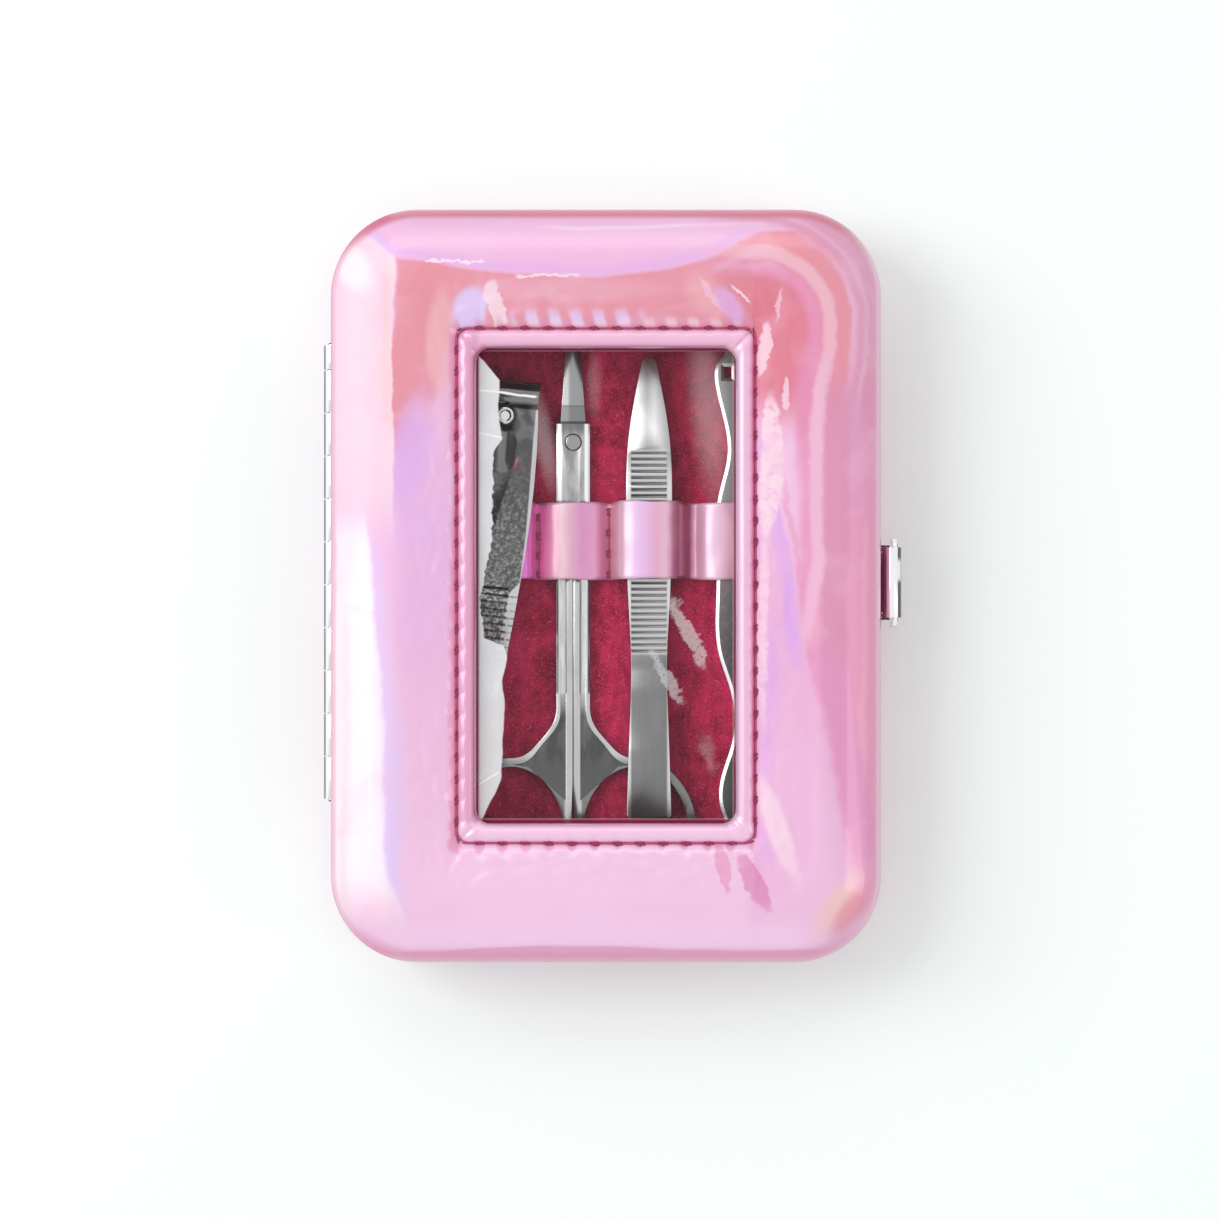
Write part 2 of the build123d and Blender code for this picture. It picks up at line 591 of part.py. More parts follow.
with BuildPart() as tweezers_upper_arm:
    add(upper_arm)
save(tweezers_upper_arm, "tweezers_upper_arm")

with BuildPart() as tweezers_lower_arm:
    add(lower_arm)
save(tweezers_lower_arm, "tweezers_lower_arm")

# ---- cuticle pusher -----------------------------------------------------------------
# Half-widths down the wavy blade, from the scoop to the pick.
PUSHER_WAVES = [
    (38.5, 2.5), (34.6, 2.3), (32.4, 3.1), (31.0, 4.1), (28.1, 4.25), (21.8, 2.8), (18.6, 2.55), (12.8, 3.8), (0.5, 4.1),
    (-9.5, 3.8), (-14.8, 2.1), (-18.5, 1.6), (-21.7, 1.9), (-24.9, 2.9), (-32.3, 3.1),
]

with BuildPart() as cuticle_pusher:
    with BuildSketch(Plane.XY.offset(TOOL_FLOOR)):
        with BuildLine():
            edge_right = Spline(*[(PUSHER_X + half, y) for y, half in PUSHER_WAVES])
            edge_left = Spline(*[(PUSHER_X - half, y) for y, half in PUSHER_WAVES])
            ThreePointArc(edge_left @ 0, (PUSHER_X, PUSHER_END), edge_right @ 0)
            pick = [(PUSHER_X + PICK_HALF, -PUSHER_END), (PUSHER_X - PICK_HALF, -PUSHER_END)]
            Polyline(edge_right @ 1, *pick, edge_left @ 1)
        make_face()
        with Locations(HANG_HOLE[:2]):
            Rectangle(*HANG_HOLE[2:], mode=Mode.SUBTRACT)
    extrude(amount=PUSHER_METAL)
save(cuticle_pusher, "cuticle_pusher")

# ---- nail clipper -------------------------------------------------------------------
TURN = radians(CLIPPER_TURN)
ALONG = (sin(TURN), cos(TURN), 0)
ACROSS = (cos(TURN), -sin(TURN), 0)
CLIPPER_PLAN = Plane(origin=(*CLIPPER_POST, 0), x_dir=ACROSS, z_dir=(0, 0, 1))
CLIPPER_SIDE = Plane(origin=(*CLIPPER_POST, 0), x_dir=ALONG, z_dir=ACROSS)
JAW_FRONT, JAW_TAIL = 5.2, -38.4
# Half-widths of the jaws and of the lever, and where they lie along the clipper.
JAW_WIDTHS = [(4.45, JAW_FRONT), (2.9, JAW_TAIL)]
LEVER_WIDTHS = [(4.4, 2.0), (4.95, -11.0), (4.4, -23.0), (3.2, -36.6)]
JAW_SEAT = JAW_FOOT + JAW_METAL
TAIL_PLATE_V = -42  # beyond the round tail, which is cut to shape afterwards
POST_R = 1.0
POST_FOOT, POST_FOOT_R = 4.9, 1.7
POST_HEAD_LOW, POST_TOP, POST_HEAD_R = 11.3, 11.9, 1.4
POST_CUP_R, POST_CUP = 0.75, 0.4
TAIL_RIVET_V = -38.2
RIVET_R, RIVET_HEAD_R = 0.9, 1.35
RIVET_LOW, RIVET_HIGH, RIVET_HEAD = 5.0, 7.65, 0.35
LEVER_GRIP_RIDGES = 12
LEVER_GRIP_HALF = 2.9

# Sections along the clipper: distance in front of the post, and Z.
LOWER_JAW_SECTION = [
    (TAIL_PLATE_V, JAW_FOOT), (2.1, JAW_FOOT), (5.3, 5.9), (5.3, 6.6), (4.0, 6.55),
    (1.6, JAW_SEAT), (TAIL_PLATE_V, JAW_SEAT), (TAIL_PLATE_V, JAW_FOOT),
]
UPPER_JAW_UNDERSIDE = [(TAIL_PLATE_V, JAW_SEAT), (-35, JAW_SEAT), (3.0, 8.4), (4.3, 7.9), (4.8, 7.4)]
UPPER_JAW_EDGE = [(5.3, 7.4), (5.3, 8.3)]
UPPER_JAW_BROW = [(5.3, 8.3), (4.3, 9.25), (2.6, 9.4)]
LEVER_TOP = LEVER_FOOT + LEVER_METAL
LEVER_SECTION = [
    (2.0, 9.6), (1.0, 9.6), (0.3, LEVER_FOOT), (-36.0, LEVER_FOOT), (-40.0, LEVER_FOOT + 0.6),
    (-40.0, LEVER_TOP + 0.6), (-36.0, LEVER_TOP), (1.2, LEVER_TOP), (2.0, 10.4), (2.0, 9.6),
]


def cut_to_outline(widths):
    """Keep only what lies inside a symmetrical outline with a round tail."""
    half_tail, tail = widths[-1]
    with BuildSketch(CLIPPER_PLAN) as outline:
        with BuildLine():
            right_side = Spline(*widths)
            left_side = Spline(*[(-half, along) for half, along in widths])
            ThreePointArc(left_side @ 0, (0, widths[0][1] - 0.35), right_side @ 0)
            ThreePointArc(left_side @ 1, (0, tail - half_tail), right_side @ 1)
        make_face()
    extrude(outline.sketch, amount=20, mode=Mode.INTERSECT)


def post_hole(radius, at=0.0):
    """A round hole through everything at one place on the clipper's length."""
    with BuildSketch(CLIPPER_PLAN) as hole:
        with Locations((0, at)):
            Circle(radius)
    extrude(hole.sketch, amount=20, mode=Mode.SUBTRACT)


with BuildPart() as clipper_lower_jaw:
    with BuildSketch(CLIPPER_SIDE):
        with BuildLine():
            Polyline(*LOWER_JAW_SECTION)
        make_face()
    extrude(amount=6, both=True)
    cut_to_outline(JAW_WIDTHS)
    post_hole(POST_R + 0.1)
    post_hole(RIVET_R, TAIL_RIVET_V)
save(clipper_lower_jaw, "clipper_lower_jaw")

with BuildPart() as clipper_upper_jaw:
    with BuildSketch(CLIPPER_SIDE):
        with BuildLine():
            Polyline(*UPPER_JAW_UNDERSIDE, *UPPER_JAW_EDGE)
            nose = ThreePointArc(*UPPER_JAW_BROW)
            tail_top = JAW_SEAT + JAW_METAL
            tail_end = [(TAIL_PLATE_V, tail_top), UPPER_JAW_UNDERSIDE[0]]
            Polyline(nose @ 1, (-35.1, tail_top), *tail_end)
        make_face()
    extrude(amount=6, both=True)
    cut_to_outline(JAW_WIDTHS)
    post_hole(POST_R + 0.1)
    post_hole(RIVET_R, TAIL_RIVET_V)
save(clipper_upper_jaw, "clipper_upper_jaw")

with BuildPart() as clipper_tail_rivet:
    rivet_steps = (
        (RIVET_LOW, JAW_FOOT, RIVET_HEAD_R),
        (JAW_FOOT, RIVET_HIGH - RIVET_HEAD, RIVET_R),
        (RIVET_HIGH - RIVET_HEAD, RIVET_HIGH, RIVET_HEAD_R),
    )
    for low, high, radius in rivet_steps:
        with BuildSketch(CLIPPER_PLAN.offset(low)):
            with Locations((0, TAIL_RIVET_V)):
                Circle(radius)
        extrude(amount=high - low)
    chamfer(clipper_tail_rivet.edges().group_by(Axis.Z)[-1], 0.18)
save(clipper_tail_rivet, "clipper_tail_rivet")

with BuildPart() as clipper_post:
    post_steps = (
        (POST_FOOT, JAW_FOOT, POST_FOOT_R),
        (JAW_FOOT, POST_HEAD_LOW, POST_R),
        (POST_HEAD_LOW, POST_TOP, POST_HEAD_R),
    )
    for low, high, radius in post_steps:
        with BuildSketch(CLIPPER_PLAN.offset(low)):
            Circle(radius)
        extrude(amount=high - low)
    chamfer(clipper_post.edges().group_by(Axis.Z)[-1], 0.25)
    with BuildSketch(CLIPPER_PLAN.offset(POST_TOP)):
        Circle(POST_CUP_R)
    extrude(amount=-POST_CUP, mode=Mode.SUBTRACT)
save(clipper_post, "clipper_post")

with BuildPart() as clipper_lever:
    with BuildSketch(CLIPPER_SIDE):
        with BuildLine():
            Polyline(*LEVER_SECTION)
        make_face()
    extrude(amount=6, both=True)
    cut_to_outline(LEVER_WIDTHS)
    # Keyhole: the post's neck stands in the narrow end.
    with BuildSketch(CLIPPER_PLAN) as keyhole:
        with Locations((0, -0.4)):
            SlotOverall(4.2, 2 * (POST_R + 0.12), rotation=90)
        with Locations((0, -4.9)):
            SlotOverall(6.2, 4.0, rotation=90)
    extrude(amount=20, mode=Mode.SUBTRACT)
    with BuildSketch(CLIPPER_SIDE):
        with Locations((-29.5, LEVER_TOP + 0.12)):
            with GridLocations(1.0, 1, LEVER_GRIP_RIDGES, 1):
                Rectangle(0.5, 0.5, rotation=45)
    extrude(amount=LEVER_GRIP_HALF, both=True, mode=Mode.SUBTRACT)
save(clipper_lever, "clipper_lever")

# ---- the strap that holds the tools -------------------------------------------------
# It is sewn down to the panel between its loops and rises over each tool in turn.
SEWN = PANEL_TOP
STRAP_ROUTE = [
    (-25.2, SEWN), (-23.0, SEWN), (-21.6, 9.3), (-11.0, 9.3), (-10.3, SEWN),
    (-9.1, SEWN), (-8.4, 6.85), (-1.4, 6.85), (-0.8, SEWN),
    (1.2, SEWN), (2.0, 9.15), (10.0, 9.15), (10.8, SEWN),
    (13.2, SEWN), (14.4, 6.2), (24.8, 6.2), (26.0, SEWN), (28.6, SEWN),
]

with BuildPart() as tool_strap:
    with BuildSketch(Plane.XZ.offset(-STRAP_HIGH_Y)):
        with BuildLine():
            underside = FilletPolyline(*STRAP_ROUTE, radius=0.3)
            offset(amount=STRAP_METAL, side=Side.LEFT)
        make_face()
    extrude(amount=STRAP_HIGH_Y - STRAP_LOW_Y)
save(tool_strap, "tool_strap")
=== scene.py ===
import math

import bmesh
import bpy
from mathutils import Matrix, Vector, noise


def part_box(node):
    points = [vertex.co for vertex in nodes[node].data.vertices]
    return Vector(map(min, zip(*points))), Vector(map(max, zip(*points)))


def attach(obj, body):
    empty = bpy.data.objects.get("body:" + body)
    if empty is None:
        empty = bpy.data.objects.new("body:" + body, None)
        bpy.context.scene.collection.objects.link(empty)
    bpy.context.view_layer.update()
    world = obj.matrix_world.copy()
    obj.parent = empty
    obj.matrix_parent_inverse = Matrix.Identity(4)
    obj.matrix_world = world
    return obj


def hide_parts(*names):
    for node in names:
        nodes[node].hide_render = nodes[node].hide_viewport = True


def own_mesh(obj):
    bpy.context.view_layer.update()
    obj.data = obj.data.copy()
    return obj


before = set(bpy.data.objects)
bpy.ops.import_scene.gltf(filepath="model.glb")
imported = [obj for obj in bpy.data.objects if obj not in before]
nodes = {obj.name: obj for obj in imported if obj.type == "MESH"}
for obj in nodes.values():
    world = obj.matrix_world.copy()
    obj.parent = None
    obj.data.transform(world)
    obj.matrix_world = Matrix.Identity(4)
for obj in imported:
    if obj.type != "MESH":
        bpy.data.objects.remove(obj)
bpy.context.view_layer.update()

MM = 0.001

# ---- camera, light and surroundings --------------------------------------------------
PICTURE = 1220  # pixels across the square frame
MM_PER_PIXEL = 0.138
CASE_MIDDLE_PIXEL = (606, 586)
CAMERA_HEIGHT = 700 * MM
FOCUS_PLANE = 16 * MM  # height of the lid's widest part, where the scale holds
SENSOR = 36.0


def make_camera():
    """A long lens straight above the case, with the hinge at the left."""
    centre = PICTURE / 2
    x = (centre - CASE_MIDDLE_PIXEL[0]) * MM_PER_PIXEL * MM
    y = (CASE_MIDDLE_PIXEL[1] - centre) * MM_PER_PIXEL * MM
    lens = bpy.data.cameras.new("camera")
    lens.sensor_width = SENSOR
    lens.lens = SENSOR * CAMERA_HEIGHT / (PICTURE * MM_PER_PIXEL * MM)
    lens.clip_start = 0.01
    camera = bpy.data.objects.new("camera", lens)
    camera.location = (x, y, FOCUS_PLANE + CAMERA_HEIGHT)
    bpy.context.scene.collection.objects.link(camera)
    bpy.context.scene.camera = camera


def softbox(name, place, aim, size, power):
    """A rectangular soft lamp aimed at a point."""
    data = bpy.data.lights.new(name, "AREA")
    data.shape = "RECTANGLE"
    data.size, data.size_y = size
    data.energy = power
    lamp = bpy.data.objects.new(name, data)
    lamp.location = place
    lamp.rotation_euler = (Vector(aim) - Vector(place)).to_track_quat("-Z", "Y").to_euler()
    bpy.context.scene.collection.objects.link(lamp)


make_camera()
bpy.context.scene.view_settings.view_transform = "Standard"
softbox("window_left", (-0.53, 0.19, 0.62), (0, 0, 0.01), (0.40, 0.60), 2.65)
softbox("strip_top", (-0.05, 0.55, 0.66), (0, 0, 0.01), (0.60, 0.30), 0.45)
softbox("fill_right", (0.60, -0.15, 0.50), (0, 0, 0.01), (0.20, 0.50), 0.4)


# ---- shader tools --------------------------------------------------------------------
def linear(red, green, blue):
    """A display colour, 0 to 255, as the linear colour that a shader takes."""
    def channel(value):
        value /= 255
        return value / 12.92 if value <= 0.04045 else ((value + 0.055) / 1.055) ** 2.4
    return (channel(red), channel(green), channel(blue), 1.0)


class Number:
    """A number socket on which sums are written as plain expressions."""

    def __init__(self, finish, socket):
        self.finish = finish
        self.socket = socket

    def step(self, operation, first, second=0.0):
        node = self.finish.node("ShaderNodeMath", {"operation": operation}, {0: first, 1: second})
        return Number(self.finish, node.outputs[0])

    def __add__(self, other):
        return self.step("ADD", self, other)

    __radd__ = __add__

    def __sub__(self, other):
        return self.step("SUBTRACT", self, other)

    def __rsub__(self, other):
        return self.step("SUBTRACT", other, self)

    def __mul__(self, other):
        return self.step("MULTIPLY", self, other)

    __rmul__ = __mul__

    def size(self):
        return self.step("ABSOLUTE", self)

    def cosine(self):
        return self.step("COSINE", self)

    def larger(self, other):
        return self.step("MAXIMUM", self, other)

    def above(self, low, high):
        """0 below low and 1 above high, with a soft step between."""
        settings = {"interpolation_type": "SMOOTHSTEP"}
        node = self.finish.node("ShaderNodeMapRange", settings, {"Value": self, 1: low, 2: high})
        return Number(self.finish, node.outputs[0])

    def below(self, low, high):
        """1 below low and 0 above high, with a soft step between."""
        return 1 - self.above(low, high)

    def band(self, low, high, blur):
        """1 between low and high, and 0 outside them."""
        half = blur / 2
        return self.above(low - half, low + half) * self.below(high - half, high + half)


class Finish:
    """One material: a Principled shader and what feeds it."""

    def __init__(self, name, **constants):
        self.material = bpy.data.materials.new(name)
        self.material.use_nodes = True
        self.tree = self.material.node_tree
        self.shader = self.tree.nodes["Principled BSDF"]
        for word, value in constants.items():
            socket = word.replace("_", " ").title().replace("Ior", "IOR")
            self.shader.inputs[socket].default_value = value
        self.coordinates = self.node("ShaderNodeTexCoord").outputs

    def node(self, kind, settings=None, values=None):
        """Add a node, set its settings, then give its sockets values or links."""
        node = self.tree.nodes.new(kind)
        for name, value in (settings or {}).items():
            if name == "stops":
                self.set_stops(node.color_ramp, value)
            else:
                setattr(node, name, value)
        for name, value in (values or {}).items():
            self.feed(node.inputs[name], value)
        return node

    def set_stops(self, ramp, stops):
        """Give a colour ramp its stops."""
        while len(ramp.elements) < len(stops):
            ramp.elements.new(0.5)
        for element, (place, colour) in zip(ramp.elements, stops):
            element.position = place
            element.color = colour

    def feed(self, socket, value):
        if isinstance(value, Number):
            value = value.socket
        if isinstance(value, bpy.types.NodeSocket):
            self.tree.links.new(value, socket)
        else:
            socket.default_value = value

    def set(self, socket, value):
        self.feed(self.shader.inputs[socket], value)

    def paint(self, ground, *layers):
        """Take a ground and the layers over it as the base colour; hand back the material."""
        self.set("Base Color", self.lay(ground, *layers))
        return self.material

    def tone(self):
        """The base colour so far, to be painted over."""
        return self.shader.inputs["Base Color"].links[0].from_socket

    def place(self, turn=0.0, stretch=(1, 1, 1)):
        """The piece's own coordinates in millimetres, turned and stretched."""
        values = {"Vector": self.coordinates["Object"], "Rotation": (0, 0, turn),
                  "Scale": tuple(s / MM for s in stretch)}
        return self.node("ShaderNodeMapping", None, values).outputs[0]

    def split(self, vector):
        """The X, Y and Z of a vector."""
        node = self.node("ShaderNodeSeparateXYZ", None, {0: vector})
        return [Number(self, out) for out in node.outputs]

    def spot(self):
        """X, Y and Z of a point of the piece, in millimetres."""
        return self.split(self.place())

    def normal(self):
        """X, Y and Z of the surface normal in the piece's own frame."""
        return self.split(self.coordinates["Normal"])

    def vector(self, operation, first, second=(0, 0, 0)):
        """A sum on whole vectors."""
        settings = {"operation": operation}
        return self.node("ShaderNodeVectorMath", settings, {0: first, 1: second}).outputs[0]

    def length(self, vector):
        node = self.node("ShaderNodeVectorMath", {"operation": "LENGTH"}, {0: vector})
        return Number(self, node.outputs["Value"])

    def warp(self, vector, pitch, reach):
        """Push a vector about by a cloud pattern, so that edges drawn on it wander."""
        values = {"Vector": vector, "Scale": 1.0 / pitch, "Detail": 2.0, "Roughness": 0.55}
        cloud = self.node("ShaderNodeTexNoise", None, values).outputs["Color"]
        centred = self.vector("SUBTRACT", cloud, (0.5, 0.5, 0.5))
        push = self.vector("MULTIPLY", centred, (2 * reach, 2 * reach, 0))
        return self.vector("ADD", vector, push)

    def about(self, vector, middle, turn):
        """A place measured from a middle on the plan, turned about it in degrees."""
        values = {"Vector": vector, "Center": (*middle, 0), "Angle": math.radians(turn)}
        turned = self.node("ShaderNodeVectorRotate", {"rotation_type": "Z_AXIS"}, values).outputs[0]
        return self.vector("SUBTRACT", turned, (*middle, 0))

    def zone(self, vector, middle, half, blur, turn):
        """1 inside a rectangle on the plan, with an edge blur millimetres wide."""
        centred = self.about(vector, middle, turn)
        past = self.vector("SUBTRACT", self.vector("ABSOLUTE", centred), (*half, 0))
        past_x, past_y, _ = self.split(past)
        return past_x.larger(past_y).below(-blur / 2, blur / 2)

    def oval(self, vector, middle, half, blur=0.5, turn=0.0):
        """1 inside an oval on the plan, fading out over a share blur of its size."""
        centred = self.about(vector, middle, turn)
        shrunk = self.vector("MULTIPLY", centred, (1 / half[0], 1 / half[1], 0))
        return self.length(shrunk).below(1 - blur / 2, 1 + blur / 2)

    def ring(self, vector, half):
        """How far outside a rectangle round the middle a point of the plan lies."""
        past = self.vector("SUBTRACT", self.vector("ABSOLUTE", vector), (*half, 0))
        return self.length(self.vector("MULTIPLY", self.vector("MAXIMUM", past), (1, 1, 0)))

    def noise(self, pitch, detail=2.0, roughness=0.5, distortion=0.0, turn=0.0, stretch=(1, 1, 1)):
        """A cloud pattern whose lumps are about pitch millimetres across."""
        values = {"Vector": self.place(turn, stretch), "Scale": 1.0 / pitch, "Detail": detail,
                  "Roughness": roughness, "Distortion": distortion}
        return Number(self, self.node("ShaderNodeTexNoise", None, values).outputs[0])

    def mix(self, amount, first, second):
        """Blend two colours."""
        values = {0: amount, 6: first, 7: second}
        return self.node("ShaderNodeMix", {"data_type": "RGBA"}, values).outputs[2]

    def lay(self, ground, *layers):
        """Lay colours over a ground one after another, each as far as its mask says."""
        for where, colour in layers:
            ground = self.mix(where, ground, colour)
        return ground

    def ramp(self, value, stops):
        """Run a number through a row of colours."""
        return self.node("ShaderNodeValToRGB", {"stops": stops}, {0: value}).outputs[0]

    def follow(self, along, points):
        """A number that runs through a row of (place, value) points along another."""
        places, levels = zip(*points)
        low, high = min(levels), max(levels)
        start, span = places[0], places[-1] - places[0]
        stops = []
        for place, level in points:
            share = (level - low) / (high - low)
            stops.append(((place - start) / span, (share, share, share, 1)))
        return Number(self, self.ramp((along - start) * (1 / span), stops)) * (high - low) + low

    def bump(self, height, depth, strength=1.0):
        """Turn a height pattern, in units of depth millimetres, into the shading normal."""
        values = {"Strength": strength, "Distance": depth * MM, "Height": height}
        self.set("Normal", self.node("ShaderNodeBump", None, values).outputs[0])


# ---- the case's measures, from the frame ---------------------------------------------
def corners(node):
    """The low and the high corner of a CAD piece, in millimetres."""
    return [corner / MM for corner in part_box(node)]


cover_low, cover_high = corners("lid_cover")
base_high = corners("base_cover")[1]
binding_high = corners("window_binding")[1]
film_low, film_high = corners("window_film")
HALF_X, HALF_Y = cover_high.x, cover_high.y
PLAN_CORNER = 12.0
CREST = 8.6  # how far in from the edge the puffed skin is highest
ROLL_CORNER = 0.8  # how fast the plan's corners tighten over the outer roll
SIDE_FOOT, SKIN_TOP = cover_low.z + 0.9, cover_high.z + 0.15
SEAM_HALF = (binding_high.x, binding_high.y)
SEAM_CORNER = 1.6
SEAM_GROOVE = film_high.z + 1.0  # height of the stitches' groove
SEAM_EDGE = 0.12  # how far outside the seam's rectangle the skin's edge lies
HOLE_LIFT, STITCH_LIFT = 0.24, 0.12  # above the groove
OPENING_HALF = (17.8, 32.6)
OPENING_CORNER = 1.9
STITCHES_ACROSS, STITCHES_DOWN = 13, 24
SCISSORS_X, TWEEZERS_X = -4.6, 6.0
# From where to where on Y the scissors' parts run.
SCISSORS_WEB, SCISSORS_SHANK, SCISSORS_JOINT = (-18.5, -15.0), (-15, 10.8), (11.2, 22.8)
GRIP_MID_Y, GRIP_PITCH, GRIP_REACH = 4.75, 0.865, 14.3
CLIPPER_POST, CLIPPER_TURN = (-14.0, 23.7), 5.75  # the turn in degrees


# ---- finishes ------------------------------------------------------------------------
NEAR_WHITE = linear(252, 232, 244)
BLUSH_WHITE = linear(247, 218, 232)
PEACH_WHITE = linear(247, 216, 230)
MILK_WHITE = linear(252, 238, 246)
PALE_LILAC = linear(241, 196, 228)
PALE_PINK = linear(240, 190, 214)
LILAC_PINK = linear(234, 180, 218)
VIOLET = linear(222, 172, 234)
ICE_VIOLET = linear(222, 198, 244)
ROSE = linear(228, 146, 184)
DUSKY_ROSE = linear(218, 138, 172)
DUSKY_LILAC = linear(208, 150, 196)
ORCHID = linear(222, 142, 190)
CORAL = linear(228, 140, 156)
DEEP_CORAL = linear(222, 126, 144)
PEACH = linear(238, 176, 184)
APRICOT = linear(240, 196, 184)
ROSE_LINE = linear(206, 104, 146)
CORAL_LINE = linear(206, 100, 124)
LIGHT_LILAC = linear(248, 204, 240)


def start_skin(name):
    """Glossy pink leatherette under a film that throws rainbow tints."""
    skin = Finish(name, metallic=0.2, coat_weight=1.0, coat_roughness=0.05)
    skin.set("Roughness", 0.28 + skin.noise(11) * 0.1)
    skin.bump(skin.noise(0.9, detail=3), 0.012, 0.3)
    return skin


def drifting_tint(skin):
    """A painted reflection tint that runs on with the surface's slope and drifts over its length.
    """
    nx, ny, nz = skin.normal()
    drift = skin.noise(30, detail=1.0, distortion=0.3)
    phase = 0.5 + nx * 0.22 - ny * 0.18 + (drift - 0.5) * 0.8
    tint = skin.ramp(phase, [(0.0, PEACH), (0.25, LILAC_PINK), (0.42, PALE_LILAC),
                             (0.55, LILAC_PINK), (0.68, ROSE), (0.8, CORAL), (1.0, PALE_LILAC)])
    return skin.mix((1 - nz.size().above(0.1, 0.6)) * 0.5, tint, ROSE)


# Height on the lid where the painted highlight band along the top ends, from left to right.
TOP_BAND_FOOT = [
    (-34, 48.8), (-31.9, 47.6), (-29.3, 45.4), (-25, 44.9), (-14.6, 43.4), (-0.8, 42.7),
    (9, 43.6), (14, 44.9), (18, 46.8), (21, 48.0), (26, 48.4), (34, 48.6),
]
# How far outside the seam the pale painted reflection streak on the clasp side runs, from low to
# high.
STREAK = [
    (-8, 6.8), (-3.3, 7.4), (3.6, 8.4), (12, 7.7), (20, 8.0), (26, 8.8), (32, 9.8),
    (40, 10.4), (48, 10.6),
]
# X where the lighter painted reflection on the clasp side ends, from low to high.
LIGHT_GROUND = [
    (-48, 35.0), (-34, 33.0), (-20, 30.0), (-7.5, 27.4), (0, 26.6), (6, 25.4), (12, 24.2),
    (20, 22.4),
]
# X where the painted white glow of the window light on the hinge side ends, from low to high.
GLOW_EDGE = [
    (-50, -25.5), (-46, -26.8), (-38, -29.0), (-25, -29.8), (-10, -30.4), (0, -31.4),
    (8, -32.6), (16, -33.0),
]


